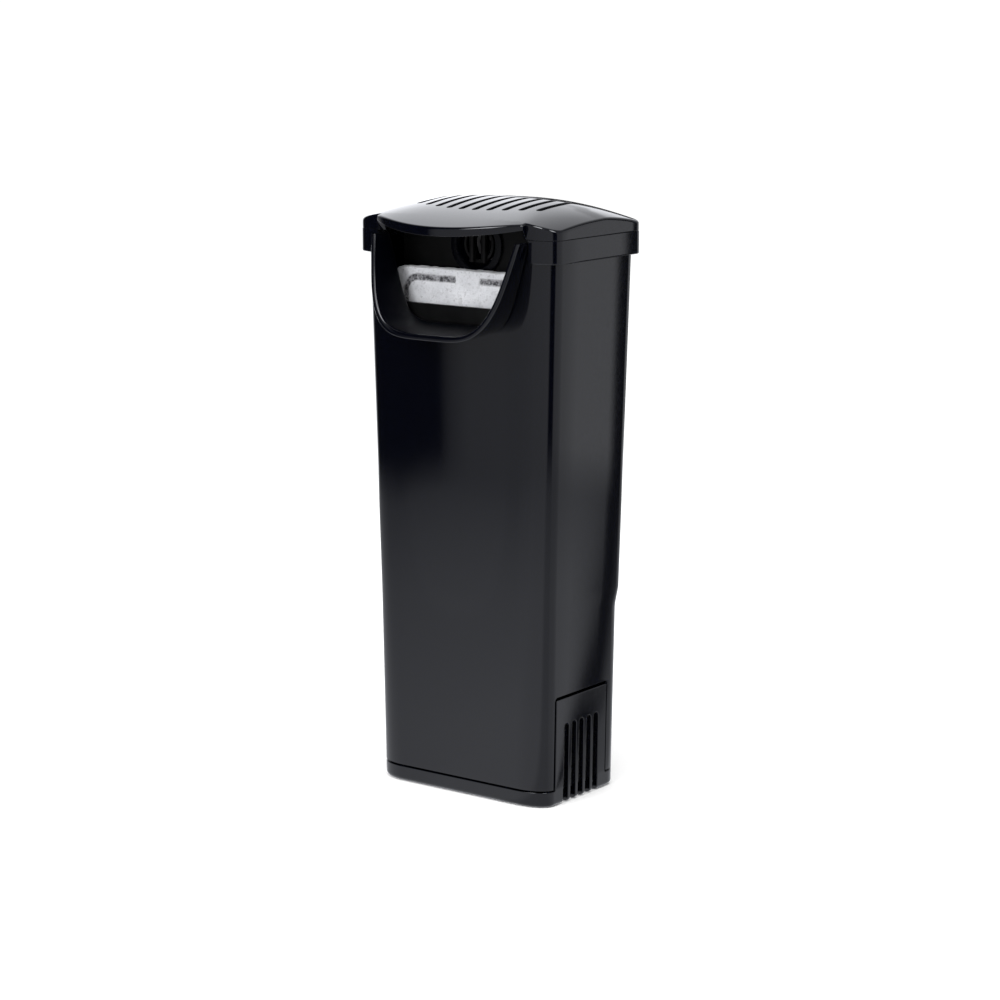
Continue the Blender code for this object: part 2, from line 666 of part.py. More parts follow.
def make_volute_cover():
    front = MOTOR_BACK + GAP
    plate = box(bmesh.new(), (-17.0, front, PUMP_Z - 17), (17.0, front + 2.4, PUMP_Z + 17), 4.0, "Y")
    cover = part("volute_cover", plate, "black_satin")
    barrel = rod(bmesh.new(), (0, front + 1, PUMP_Z), 15.0, VOLUTE_BACK - front - 1, "Y", 32)
    spigot = rod(bmesh.new(), (0, RISER_Y, PUMP_Z + 8), RISER_R, 17.0, "Z", 24)
    hub = rod(bmesh.new(), (0, VOLUTE_BACK - 1, PUMP_Z), 3.4, 3.6, "Y", 20)
    join(cover, cutter("volute_barrel", barrel), cutter("volute_spigot", spigot), cutter("volute_hub", hub))

    chamber = rod(bmesh.new(), (0, front - 5, PUMP_Z), 12.0, 13.4 - front + 5, "Y", 32)
    seal_seat = rod(bmesh.new(), (0, front - 5, PUMP_Z), 14.2, 7.6, "Y", 32)
    bore = rod(bmesh.new(), (0, RISER_Y, PUMP_Z + 4), RISER_R - 1.5, 40.0, "Z", 24)
    intake = rod(bmesh.new(), (0, 12, PUMP_Z), 2.4, 10, "Y", 16)
    for x, z in intake_places():
        rod(intake, (x, 12, z), 2.3, 10, "Y", 16)
    screws = bmesh.new()
    for x, z in screw_places():
        rod(screws, (x, -2, z), 1.5, 10, "Y", 12)
    cut(cover, cutter("volute_chamber", chamber), cutter("seal_seat", seal_seat), cutter("spigot_bore", bore))
    cut(cover, cutter("intake_holes", intake), cutter("cover_screw_holes", screws))


def intake_places():
    angles = [math.radians(45 + 90 * i) for i in range(4)]
    return [(7.6 * math.cos(a), PUMP_Z + 7.6 * math.sin(a)) for a in angles]


def make_pump_small_parts():
    pump = (0, 0, PUMP_Z)
    cord = 0.8                       # radius of the seal's round section
    turns = [math.radians(90 - 45 * i) for i in range(8)]
    seal = [(13.1 + cord * math.cos(a), 2.3 + cord * math.sin(a)) for a in turns]
    turned("volute_seal", seal, "black_rubber", pump, "Y", 32)
    shaft = [(0, 15.1), (SHAFT_R, 15.1), (SHAFT_R, -15.4), (0, -15.4)]
    turned("rotor_shaft", shaft, "white_ceramic", pump, "Y", 16)
    turned("shaft_bush_rear", [(3.0, -13.3), (3.0, -15.6), (BORE_R, -15.6), (BORE_R, -13.3)], "black_rubber",
           pump, "Y", 16)
    turned("shaft_bush_front", [(2.1, 16.6), (2.1, 13.8), (BORE_R, 13.8), (BORE_R, 16.6)], "black_rubber",
           pump, "Y", 16)
    turned("riser_coupling", [(8.0, 59.4), (8.0, 44.6), (RISER_R + GAP, 44.6), (RISER_R + GAP, 59.4)],
           "black_rubber", (0, RISER_Y, 0), "Z", 24)
    gland_base = PUMP_Z + MOTOR_HALF + 2.0 + GAP
    gland = [(1.6, 8.0), (2.6, 8.0), (3.2, 2.0), (5.0, 2.0), (5.0, 0.0), (1.6, 0.0)]
    turned("cable_gland", gland[1:] + gland[:1], "black_rubber", (-9.0, -9.0, gland_base), "Z", 20)

    top = MOTOR_BACK + GAP + 2.4 + GAP
    screw = [(0, top + 1.6), (1.8, top + 1.6), (2.3, top + 0.9), (2.3, top), (1.2, top), (1.2, -5.0), (0, -5.0)]
    for number, (x, z) in enumerate(screw_places(), 1):
        turned(f"cover_screw_{number}", screw, "steel", (x, 0, z), "Y", 12)


def make_intake_sponges():
    for word, side in (("left", -1), ("right", 1)):
        low_x, high_x = sorted((side * 18.6, side * 32.9))
        foam = box(bmesh.new(), (low_x, -15.0, FLOOR_TOP + GAP), (high_x, 12.6, 34.0), 2.0, "Y")
        part(f"intake_sponge_{word}", foam, "sponge_black")


# ---- turning pieces ------------------------------------------------------------------------------------------
def make_rotor():
    pump = (0, 0, PUMP_Z)
    turned("rotor_magnet", [(7.0, 0.4), (7.0, -12.3), (BORE_R, -12.3), (BORE_R, 0.4)], "ferrite", pump, "Y", 24)
    disc = rod(bmesh.new(), (0, 1.5, PUMP_Z), 10.4, 1.4, "Y", 28)
    impeller = part("impeller", disc, "grey_moulding")
    hub = rod(bmesh.new(), (0, 0.8, PUMP_Z), 3.8, 12.0, "Y", 20)
    blades = bmesh.new()
    for i in range(BLADES):
        blade = box(bmesh.new(), (3.0, 2.2, -0.7), (10.3, 11.2, 0.7))
        turn = Matrix.Translation((0, 0, PUMP_Z)) @ Matrix.Rotation(2 * math.pi * i / BLADES, 4, "Y")
        mesh = bpy.data.meshes.new("blade")
        blade.transform(turn)
        blade.to_mesh(mesh)
        blade.free()
        blades.from_mesh(mesh)
        bpy.data.meshes.remove(mesh)
    bore = rod(bmesh.new(), (0, -5, PUMP_Z), BORE_R, 30, "Y", 16)
    join(impeller, cutter("impeller_hub", hub), cutter("impeller_blades", blades))
    cut(impeller, cutter("impeller_bore", bore))


def make_flow_dial():
    back = VOLUTE_BACK + GAP
    dial = part("flow_dial", rod(bmesh.new(), (0, back, PUMP_Z), 11.0, 1.7, "Y", 32), "grey_moulding")
    arm = box(bmesh.new(), (-1.8, back, PUMP_Z + 9), (1.8, back + 1.7, PUMP_Z + 14.6), 1.0, "Y")
    lever = cutter("dial_lever", arm)
    holes = rod(bmesh.new(), (0, 10, PUMP_Z), 3.7, 20, "Y", 20)
    for x, z in intake_places():
        rod(holes, (x, 10, z), 2.3, 20, "Y", 16)
    join(dial, lever)
    cut(dial, cutter("dial_holes", holes))


# ---- assembly ------------------------------------------------------------------------------------------------
def numbered(name, count):
    return [f"{name}_{number}" for number in range(1, count + 1)]


BODIES = {
    "lid_slide": ((0, 0, LID_BOTTOM), ("lid",)),
    "cassette_slide": ((0, 0, LEDGE_Z), (
        "media_basket", "baffle_panel", "floss_pad", "coarse_sponge", "carbon_pouch_left", "carbon_pouch_right",
        "fine_sponge", "riser_tube", "outlet_nozzle", "outlet_vanes", *numbered("ceramic_ring", 8))),
    "tray_slide": ((0, 0, 0), (
        "base_tray", "motor_housing", "volute_cover", "volute_seal", "rotor_shaft", "shaft_bush_rear",
        "shaft_bush_front", "riser_coupling", "cable_gland", "intake_sponge_left", "intake_sponge_right",
        *numbered("cover_screw", 4))),
    "rotor_axis": ((0, 0, PUMP_Z), ("rotor_magnet", "impeller")),
    "dial_axis": ((0, VOLUTE_BACK, PUMP_Z), ("flow_dial",)),
}


def hang_on_axes():
    """Give each moving group a parent empty on its joint's axis."""
    for name, (place, pieces) in BODIES.items():
        empty = bpy.data.objects.new(name, None)
        empty.location = Vector(place) * MM
        PARTS.objects.link(empty)
        for piece in pieces:
            obj = bpy.data.objects[piece]
            obj.parent = empty
            obj.matrix_parent_inverse = Matrix.Translation(-empty.location)


clear_scene()
PARTS = make_collection(OBJECT_NAME)
CUTTERS = make_collection("cutters")
make_body_shell()
make_spout_scoop()
make_suction_cups()
make_cable_grommet()
make_lid()
make_media_basket()
make_baffle_panel()
make_media()
make_riser_tube()
make_nozzle()
make_vanes()
make_base_tray()
make_motor_housing()
make_volute_cover()
make_pump_small_parts()
make_intake_sponges()
make_rotor()
make_flow_dial()
hang_on_axes()
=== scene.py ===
"""Looks of the internal waterfall filter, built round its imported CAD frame.

Lengths are in millimetres and turned into metres as each mesh is made. +Z is up and the spout faces -Y.
"""

import json
import math

import bmesh
import bpy
from mathutils import Matrix, Vector, noise


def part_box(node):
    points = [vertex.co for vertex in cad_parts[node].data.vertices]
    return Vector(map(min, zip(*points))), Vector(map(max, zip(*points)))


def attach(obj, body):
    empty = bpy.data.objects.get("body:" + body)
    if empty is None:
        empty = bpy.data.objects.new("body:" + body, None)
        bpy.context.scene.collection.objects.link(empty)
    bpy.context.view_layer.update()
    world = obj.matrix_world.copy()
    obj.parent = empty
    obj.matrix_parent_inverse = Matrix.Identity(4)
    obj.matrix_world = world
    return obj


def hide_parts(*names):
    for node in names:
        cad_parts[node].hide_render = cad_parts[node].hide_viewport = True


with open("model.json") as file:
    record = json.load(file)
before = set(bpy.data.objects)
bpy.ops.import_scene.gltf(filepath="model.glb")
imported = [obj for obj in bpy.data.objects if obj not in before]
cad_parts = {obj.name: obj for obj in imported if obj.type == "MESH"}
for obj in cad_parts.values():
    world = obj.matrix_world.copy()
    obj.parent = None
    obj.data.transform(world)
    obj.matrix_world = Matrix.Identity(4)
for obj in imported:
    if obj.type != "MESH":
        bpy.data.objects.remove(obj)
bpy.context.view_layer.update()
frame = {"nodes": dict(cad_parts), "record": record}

MM = 0.001
WALL = 2.0

# housing: height, half width, front, back, radius of the rear corners
FOOT = (0.0, 35.9, -22.8, 22.0, 7.0)
LOW = (64.0, 36.9, -23.3, 22.4, 6.8)
WAIST = (70.0, 37.0, -23.37, 23.2, 5.3)
SHOULDER = (185.0, 40.0, -24.5, 24.5, 5.0)
# front corners: radius across, radius along
FRONT_CORNER = (11.0, 6.3)
COLLAR_CORNER = (10.0, 5.2)
COLLAR_REAR = 3.9
COLLAR_END = 31.5
PARTING_Z = 5.3
SEAM = 0.6
COLLAR_PROUD = 1.6
COLLAR_TOP = 192.8
GAP = 0.3

# raised tongue on the front, under the spout
TONGUE_LOW = 61.0
TONGUE_SHOULDER = 118.0
TONGUE_HALF = 21.8
TONGUE_RISE = 0.7
CROWN_RISE = 0.9

SPOUT_TOP = 192.0
WINDOW_HALF, WINDOW_DEPTH, WINDOW_POWER, WINDOW_TAPER = 30.2, 30.5, 7.0, 0.28

LID_HALF = 41.6
LID_BACK = 25.9
LID_FRONT = -26.0
LID_CORNER = (10.0, 5.3)
LID_REAR = 3.9
LID_BOTTOM = 192.87
LID_CREST = 203.4
LID_CREST_Y = 5.0
LID_FOCUS = (0.0, -2.0)
LID_SLOTS, LID_SLOT_PITCH, LID_SLOT_WIDTH = 10, 5.55, 2.0
HOOD_HALF = 30.4
HOOD_FRONT = -37.0
HOOD_CORNER_Y = -27.6

TAB_FRONT, TAB_BACK, TAB_TOP = -16.0, 13.5, 37.0
TAB_GAP = 1.1
INTAKE_SLOTS, INTAKE_FIRST_Y, INTAKE_PITCH, INTAKE_WIDTH, INTAKE_TOP = 5, -9.9, 4.35, 2.9, 28.0
FLOOR_TOP = 2.2

NOZZLE_Z = 188.5
SILL_Z = 168.4
RISER_Y, RISER_HOLE = 9.0, 6.4
MEDIA_HALF, MEDIA_FRONT, MEDIA_BACK = 31.4, -9.5, 17.7
CUP_X = 14.0
CUP_HEIGHTS = (155.0, 45.0)
SIDES = (("left", -1), ("right", 1))

CAMERA_AZIMUTH, CAMERA_ELEVATION = 36.64, 10.84
CAMERA_AWAY, CAMERA_LENS = 0.97517, 101.81
STUDIO_CENTRE = Vector((0, 0, 0.1))
SOFT_BOX_LEVEL = 9.0


# ---- meshes
def link(name, mesh):
    obj = bpy.data.objects.new(name, mesh)
    bpy.context.scene.collection.objects.link(obj)
    return obj


def make_object(name, bm):
    """Close a bmesh in millimetres into an object in metres."""
    bmesh.ops.recalc_face_normals(bm, faces=bm.faces)
    bm.transform(Matrix.Scale(MM, 4))
    mesh = bpy.data.meshes.new(name)
    bm.to_mesh(mesh)
    bm.free()
    return link(name, mesh)


def bake_modifiers(obj):
    """Apply an object's modifiers by hand, so that what is left is one plain mesh."""
    evaluated = obj.evaluated_get(bpy.context.evaluated_depsgraph_get())
    mesh = bpy.data.meshes.new_from_object(evaluated)
    obj.modifiers.clear()
    old = obj.data
    obj.data = mesh
    bpy.data.meshes.remove(old)


def carve(obj, bm, operation="DIFFERENCE"):
    """Cut a bmesh out of an object, or add it."""
    other = make_object(f"{obj.name}_tool", bm)
    boolean = obj.modifiers.new("carve", "BOOLEAN")
    boolean.operation = operation
    boolean.object = other
    bake_modifiers(obj)
    bpy.data.objects.remove(other, do_unlink=True)


def smooth(obj, angle):
    obj.data.shade_smooth()
    obj.data.set_sharp_from_angle(angle=math.radians(angle))
    return obj


def round_edges(obj, width, segments=2, angle=35.0):
    bevel = obj.modifiers.new("round_edges", "BEVEL")
    bevel.width = width * MM
    bevel.segments = segments
    bevel.limit_method = "ANGLE"
    bevel.angle_limit = math.radians(angle)
    bevel.miter_outer = "MITER_ARC"
    even = obj.modifiers.new("even_normals", "WEIGHTED_NORMAL")
    even.keep_sharp = True
    even.weight = 90
    obj.data.shade_smooth()
    bake_modifiers(obj)


def subdivide(obj):
    surface = obj.modifiers.new("smooth", "SUBSURF")
    surface.levels = surface.render_levels = 1
    bake_modifiers(obj)


def remesh(obj, voxel):
    mod = obj.modifiers.new("remesh", "REMESH")
    mod.mode = "VOXEL"
    mod.voxel_size = voxel * MM
    bake_modifiers(obj)


def displace(obj, offset):
    """Move every vertex along its normal by offset(point), both in millimetres."""
    for vert in obj.data.vertices:
        vert.co += vert.normal * offset(vert.co / MM) * MM
    obj.data.update()


def box(bm, low, high, radius=0.0, along="Z", segments=4):
    """A box between opposite corners; the edges along one axis are rounded."""
    low, high = (Vector([pick(pair) for pair in zip(low, high)]) for pick in (min, max))
    matrix = Matrix.Translation((high + low) / 2) @ Matrix.Diagonal((*(high - low), 1.0))
    verts = bmesh.ops.create_cube(bm, size=1.0, matrix=matrix)["verts"]
    if radius:
        axis = "XYZ".index(along)
        corners = set(verts)
        edges = [edge for edge in bm.edges if corners.issuperset(edge.verts)]
        rounded = [e for e in edges if abs((e.verts[0].co - e.verts[1].co)[axis]) > 1e-6]
        bmesh.ops.bevel(bm, geom=rounded, offset=radius, segments=segments, profile=0.5, affect="EDGES")
    return bm


AXIS_TURN = {
    "X": Matrix.Rotation(math.pi / 2, 4, "Y"),
    "Y": Matrix.Rotation(-math.pi / 2, 4, "X"),
    "-Y": Matrix.Rotation(math.pi / 2, 4, "X"),
    "Z": Matrix.Identity(4),
}


def rod(bm, centre, radius, length, axis="Z", segments=40):
    place = Matrix.Translation(Vector(centre)) @ AXIS_TURN[axis] @ Matrix.Translation((0, 0, length / 2))
    bmesh.ops.create_cone(bm, cap_ends=True, segments=segments, radius1=radius, radius2=radius, depth=length,
                          matrix=place)
    return bm


def prism(bm, outline, axis, low, high):
    order = {"X": (2, 0, 1), "Y": (0, 2, 1), "Z": (0, 1, 2)}[axis]
    face = bm.faces.new([bm.verts.new([(u, v, low)[i] for i in order]) for u, v in outline])
    extruded = bmesh.ops.extrude_face_region(bm, geom=[face])["geom"]
    moved = [item for item in extruded if isinstance(item, bmesh.types.BMVert)]
    bmesh.ops.translate(bm, verts=moved, vec=Vector([(0, 0, high - low)[i] for i in order]))
    return bm


def loft(bm, rings, capped=True):
    loops = [[bm.verts.new(point) for point in ring] for ring in rings]
    for below, above in zip(loops, loops[1:]):
        for i, _ in enumerate(below):
            j = (i + 1) % len(below)
            bm.faces.new((below[i], below[j], above[j], above[i]))
    if capped:
        bm.faces.new(loops[0])
        bm.faces.new(loops[-1])
    return bm


def turned(name, profile, place, axis, steps):
    """Turn a closed profile of (radius, height) points about an axis; a radius of 0 closes on the axis."""
    bm = bmesh.new()
    loops = []
    for radius, height in profile:
        if radius < 1e-6:
            loops.append([bm.verts.new((0, 0, height))] * steps)
            continue
        turns = [2 * math.pi * i / steps for i in range(steps)]
        loops.append([bm.verts.new((radius * math.cos(a), radius * math.sin(a), height)) for a in turns])
    closed = profile[0][0] > 1e-6
    pairs = list(zip(loops, loops[1:])) + ([(loops[-1], loops[0])] if closed else [])
    for below, above in pairs:
        for i in range(steps):
            j = (i + 1) % steps
            corners = []
            for vert in (below[i], below[j], above[j], above[i]):
                if vert not in corners:
                    corners.append(vert)
            if len(corners) > 2:
                bm.faces.new(corners)
    bm.transform(Matrix.Translation(Vector(place)) @ AXIS_TURN[axis])
    return make_object(name, bm)


def arc(centre, across, start, end, steps, along=None):
    """Points on an arc of a circle, or of an ellipse with its other radius along."""
    along = across if along is None else along
    angles = [math.radians(start + (end - start) * i / steps) for i in range(steps + 1)]
    return [(centre[0] + across * math.cos(a), centre[1] + along * math.sin(a)) for a in angles]


def between(start, end, steps):
    """Points that split a straight run, without its ends."""
    return [tuple(a + (b - a) * i / steps for a, b in zip(start, end)) for i in range(1, steps)]


def quarter(centre, across, along, start, steps):
    return arc(centre, across, start, start + 90, steps, along)


def rounded_outline(half, front, back, corner, rear, steps=12, runs=(8, 4, 48, 4)):
    """Anticlockwise from the right side; runs split the back, left, front and right straights."""
    across, along = corner
    arcs = [
        quarter((half - rear, back - rear), rear, rear, 0, steps),
        quarter((rear - half, back - rear), rear, rear, 90, steps),
        quarter((across - half, front + along), across, along, 180, steps),
        quarter((half - across, front + along), across, along, 270, steps),
    ]
    points = []
    for this, following, count in zip(arcs, arcs[1:] + arcs[:1], runs):
        points += this + between(this[-1], following[0], count)
    return points


def capsule_outline(x, low, high, width, runs=1):
    radius = width / 2
    top = arc((x, high - radius), radius, 0, 180, 10)
    bottom = arc((x, low + radius), radius, 180, 360, 10)
    return top + between(top[-1], bottom[0], runs) + bottom + between(bottom[-1], top[0], runs)


def body_section(z, inset=0.0):
    stations = (FOOT, LOW, WAIST, SHOULDER)
    for below, above in zip(stations, stations[1:]):
        if z <= above[0] or above is SHOULDER:
            t = (z - below[0]) / (above[0] - below[0])
            half, front, back, rear = (a + (b - a) * t for a, b in zip(below[1:], above[1:]))
            return half - inset, front + inset, back - inset, rear - inset


def ease(t):
    t = min(max(t, 0.0), 1.0)
    return t * t * (3 - 2 * t)


def relief(x, z):
    """How far the front stands proud of flat: a slight crown, and the tongue that leads up to the spout."""
    crown = CROWN_RISE * max(0.0, 1 - (x / 30.0) ** 2) * ease((z - 30) / 80)
    reach = (z - TONGUE_LOW) / (TONGUE_SHOULDER - TONGUE_LOW)
    if reach <= 0:
        return crown
    half = TONGUE_HALF * (1 - (1 - min(reach, 1.0)) ** 2.3) ** (1 / 2.3)
    across = abs(x) / max(half, 0.1)
    rise = TONGUE_RISE * (0.22 + 0.78 * ease((z - TONGUE_LOW) / 75)) * ease(reach * 5)
    return crown + rise * max(0.0, 1 - across ** 2.1)


def shell_ring(z, inset=0.0, *splits):
    """The housing's outline at a height, raised in front if it is the outer one and isn't split otherwise."""
    half, front, back, rear = body_section(z, inset)
    corner = [size - inset for size in FRONT_CORNER]
    ring = []
    for x, y in rounded_outline(half, front, back, corner, rear, *splits):
        if not inset and not splits and abs(y - front) < 0.01:
            y -= relief(x, z)
        ring.append((x, y, z))
    return ring


def spout_curve(half, depth, power, taper, steps):
    """A U that narrows downwards, from its right tip to its left tip."""
    points = []
    for i in range(steps + 1):
        angle = math.pi * i / steps
        across = math.copysign(abs(math.cos(angle)) ** (2 / power), math.cos(angle))
        down = depth * math.sin(angle) ** (2 / power)
        points.append(((half - taper * down) * across, SPOUT_TOP - down))
    return points


# ---- materials
class Nodes:
    """A short way to wire a material's node tree."""

    def __init__(self, name):
        self.material = bpy.data.materials.new(name)
        self.material.use_nodes = True
        self.tree = self.material.node_tree
        self.shader = self.tree.nodes["Principled BSDF"]
        self.place = self.add("ShaderNodeTexCoord").outputs["Object"]

    def add(self, kind, **settings):
        node = self.tree.nodes.new(kind)
        for key, value in settings.items():
            setattr(node, key, value)
        return node

    def join(self, source, target):
        self.tree.links.new(source, target)

    def put(self, socket, value):
        """Link a socket, or set it; a colour is written without its alpha."""
        if isinstance(value, bpy.types.NodeSocket):
            self.join(value, socket)
        else:
            socket.default_value = (*value, 1.0) if isinstance(value, tuple) else value

    def painted(self, layer):
        return self.add("ShaderNodeVertexColor", layer_name=layer).outputs["Color"]

    def noise(self, scale, detail=3.0, roughness=0.55, stretch=None, distortion=0.0):
        node = self.add("ShaderNodeTexNoise")
        for socket, number in zip(("Scale", "Detail", "Roughness", "Distortion"),
                                  (scale, detail, roughness, distortion)):
            node.inputs[socket].default_value = number
        self.join(self.stretched(stretch), node.inputs["Vector"])
        return node.outputs["Fac"]

    def cells(self, scale):
        node = self.add("ShaderNodeTexVoronoi")
        node.inputs["Scale"].default_value = scale
        self.join(self.place, node.inputs["Vector"])
        return node.outputs["Distance"]

    def stretched(self, stretch):
        if stretch is None:
            return self.place
        mapping = self.add("ShaderNodeMapping")
        mapping.inputs["Scale"].default_value = stretch
        self.join(self.place, mapping.inputs["Vector"])
        return mapping.outputs["Vector"]

    def spread(self, value, low, high, to_low=0.0, to_high=1.0):
        node = self.add("ShaderNodeMapRange", clamp=True)
        for socket, number in zip(("From Min", "From Max", "To Min", "To Max"), (low, high, to_low, to_high)):
            node.inputs[socket].default_value = number
        self.join(value, node.inputs["Value"])
        return node.outputs["Result"]

    def combine(self, operation, *values):
        node = self.add("ShaderNodeMath", operation=operation)
        for socket, value in zip(node.inputs, values):
            self.put(socket, value)
        return node.outputs[0]

    def sum(self, *values):
        total = values[0]
        for value in values[1:]:
            total = self.combine("ADD", total, value)
        return total

    def times(self, value, factor):
        return self.combine("MULTIPLY", value, factor)

    def mix(self, factor, first, second):
        node = self.add("ShaderNodeMix", data_type="RGBA")
        for name, value in (("Factor", factor), ("A", first), ("B", second)):
            self.put(node.inputs[name], value)
        return node.outputs["Result"]

    def bump(self, height, distance, strength=1.0, after=None):
        """A bump of a distance in millimetres."""
        node = self.add("ShaderNodeBump")
        node.inputs["Strength"].default_value = strength
        node.inputs["Distance"].default_value = distance * MM
        self.join(height, node.inputs["Height"])
        if after is not None:
            self.join(after, node.inputs["Normal"])
        return node.outputs["Normal"]

    def edges(self, low, high):
        """1 on worn convex edges, 0 elsewhere."""
        sharp = self.add("ShaderNodeNewGeometry").outputs["Pointiness"]
        return self.spread(sharp, low, high)

    def finish(self, colour=None, roughness=None, normal=None, **sockets):
        if colour is not None:
            self.put(self.shader.inputs["Base Color"], colour)
        if roughness is not None:
            self.put(self.shader.inputs["Roughness"], roughness)
        if normal is not None:
            self.join(normal, self.shader.inputs["Normal"])
        for name, value in sockets.items():
            self.shader.inputs[name.replace("_", " ")].default_value = value
        return self.material


def gloss_plastic(name, colour, worn, low_roughness, high_roughness):
    """Polished moulded plastic: faint flow waves, dust specks, hairline scratches, edges a little worn.

    Recesses carry an attribute that makes them rougher, as the mould is only polished where it shows, and
    cuts their shine down, which is painted shade.
    """
    n = Nodes(name)
    dull_and_shade = n.painted("dull_and_shade")
    waves = n.noise(26.0, 1.0, 0.4)
    fine = n.noise(900.0, 4.0, 0.6)
    specks = n.spread(n.cells(420.0), 0.0, 0.07, 1.0, 0.0)
    rare = n.spread(n.noise(60.0, 2.0), 0.62, 0.70)
    dust = n.times(specks, rare)
    scratches = n.spread(n.noise(30.0, 6.0, 0.75, (1.0, 1.0, 28.0), 0.6), 0.69, 0.73)
    wear = n.edges(0.53, 0.62)
    base = n.mix(n.sum(n.times(dust, 0.5), n.times(wear, 0.35)), colour, worn)
    rough = n.sum(n.spread(fine, 0.3, 0.7, low_roughness, high_roughness), n.times(dust, 0.3),
                  n.times(scratches, 0.08), n.times(wear, 0.05), n.times(dull_and_shade, 0.22))
    normal = n.bump(waves, 0.12, 0.25)
    normal = n.bump(fine, 0.006, 0.5, normal)
    # the shine of recesses is cut down here: painted shade
    n.join(n.spread(dull_and_shade, 0.0, 1.0, 0.5, 0.07), n.shader.inputs["Specular IOR Level"])
    return n.finish(base, rough, normal, IOR=1.5)


def satin_plastic(name, colour, worn, roughness, grain=0.02, shine=0.5):
    """Spark-eroded moulded plastic with a fine grain."""
    n = Nodes(name)
    grains = n.noise(2600.0, 3.0, 0.6)
    patches = n.noise(70.0, 3.0)
    wear = n.edges(0.53, 0.64)
    base = n.mix(n.sum(n.spread(patches, 0.35, 0.7, 0.0, 0.4), n.times(wear, 0.5)), colour, worn)
    rough = n.spread(patches, 0.3, 0.7, roughness - 0.06, roughness + 0.08)
    normal = n.bump(grains, grain, 0.8)
    normal = n.bump(n.noise(40.0, 1.0), 0.1, 0.2, normal)
    return n.finish(base, rough, normal, IOR=1.5, Specular_IOR_Level=shine)


def rubber(name, colour, worn, roughness, **sockets):
    n = Nodes(name)
    bloom = n.noise(110.0, 4.0, 0.6)
    base = n.mix(n.spread(bloom, 0.4, 0.75, 0.0, 0.6), colour, worn)
    rough = n.spread(bloom, 0.3, 0.7, roughness - 0.07, roughness + 0.1)
    return n.finish(base, rough, n.bump(n.noise(1500.0, 3.0), 0.015, 0.7), IOR=1.5, **sockets)


def floss_fabric():
    """Heat-bonded white polyester: matted fibres, fine grey pits, and its weld groove painted near black as
    painted shade.
    """
    n = Nodes("floss_fibres")
    matt = n.noise(520.0, 5.0, 0.7, None, 1.4)
    fibres = n.noise(300.0, 5.0, 0.7, (1.0, 1.0, 3.2), 2.2)
    pits = n.spread(n.noise(1150.0, 3.0, 0.6), 0.56, 0.74)
    clouds = n.noise(120.0, 3.0)
    pale = n.mix(n.spread(clouds, 0.35, 0.7), (0.66, 0.67, 0.70), (0.56, 0.57, 0.60))
    dark = n.sum(n.times(pits, 0.75), n.spread(matt, 0.52, 0.75, 0.0, 0.5))
    colour = n.mix(dark, pale, (0.32, 0.32, 0.34))
    # the weld groove is painted near black: painted shade in the groove
    groove_shade = n.spread(n.painted("groove_shade"), 0.1, 0.9)
    weld = n.mix(n.spread(n.noise(900.0, 3.0, 0.65), 0.42, 0.62), (0.035, 0.035, 0.04),
                 (0.30, 0.30, 0.32))
    colour = n.mix(groove_shade, colour, weld)
    normal = n.bump(fibres, 0.35, 0.8)
    normal = n.bump(matt, 0.22, 0.9, normal)
    return n.finish(colour, n.spread(matt, 0.3, 0.7, 0.9, 1.0), normal, Sheen_Weight=0.15)


def foam(name, colour, light, pore):
    """Open-cell filter foam; pore is the number of cells to a metre."""
    n = Nodes(name)
    holes = n.spread(n.cells(pore), 0.10, 0.42)
    small = n.spread(n.cells(pore * 2.3), 0.1, 0.4)
    drift = n.noise(60.0, 3.0)
    strut = n.mix(n.spread(drift, 0.35, 0.7), colour, light)
    # the cell centres are painted dark: painted shade in the pores
    depth = tuple(c * 0.18 for c in colour)
    base = n.mix(n.times(holes, small), depth, strut)
    normal = n.bump(holes, 0.7, 0.9)
    normal = n.bump(small, 0.25, 0.8, normal)
    return n.finish(base, n.spread(drift, 0.3, 0.7, 0.85, 1.0), normal, Sheen_Weight=0.05)


def net_fabric():
    """Knitted net over carbon grains."""
    n = Nodes("carbon_net")
    warp = n.add("ShaderNodeTexWave", wave_type="BANDS", bands_direction="X")
    weft = n.add("ShaderNodeTexWave", wave_type="BANDS", bands_direction="Y")
    for thread in (warp, weft):
        thread.inputs["Scale"].default_value = 260.0
        thread.inputs["Distortion"].default_value = 0.6
        n.join(n.place, thread.inputs["Vector"])
    thread = n.spread(n.combine("MAXIMUM", warp.outputs["Fac"], weft.outputs["Fac"]), 0.72, 0.9)
    grains = n.cells(480.0)
    carbon = n.mix(n.spread(grains, 0.1, 0.6), (0.05, 0.05, 0.052), (0.006, 0.006, 0.006))
    colour = n.mix(thread, carbon, (0.28, 0.28, 0.28))
    normal = n.bump(grains, 0.5, 0.7)
    normal = n.bump(thread, 0.18, 0.9, normal)
    return n.finish(colour, n.spread(thread, 0.0, 1.0, 0.45, 0.9), normal)


def porous_ceramic():
    n = Nodes("bioceramic_body")
    pits = n.spread(n.cells(1500.0), 0.05, 0.35)
    fired = n.noise(140.0, 4.0)
    base = n.mix(n.spread(fired, 0.3, 0.7), (0.66, 0.56, 0.45), (0.50, 0.39, 0.29))
    # the pits are painted dark brown: painted shade in the pores
    base = n.mix(pits, (0.24, 0.18, 0.13), base)
    normal = n.bump(n.noise(1900.0, 4.0), 0.12, 0.7, n.bump(pits, 0.2, 0.8))
    return n.finish(base, n.spread(fired, 0.3, 0.7, 0.8, 0.98), normal)


def grained(name, grain, colours, roughness, bump, start=0.35, relief=None, **sockets):
    """A hard surface whose colour and roughness follow one grain, as its bump does unless relief is given."""
    n = Nodes(name)
    texture = n.noise(*grain)
    base = n.mix(n.spread(texture, start, 0.7), *colours)
    raised = n.noise(*relief) if relief else texture
    return n.finish(base, n.spread(texture, 0.3, 0.7, *roughness), n.bump(raised, *bump), **sockets)


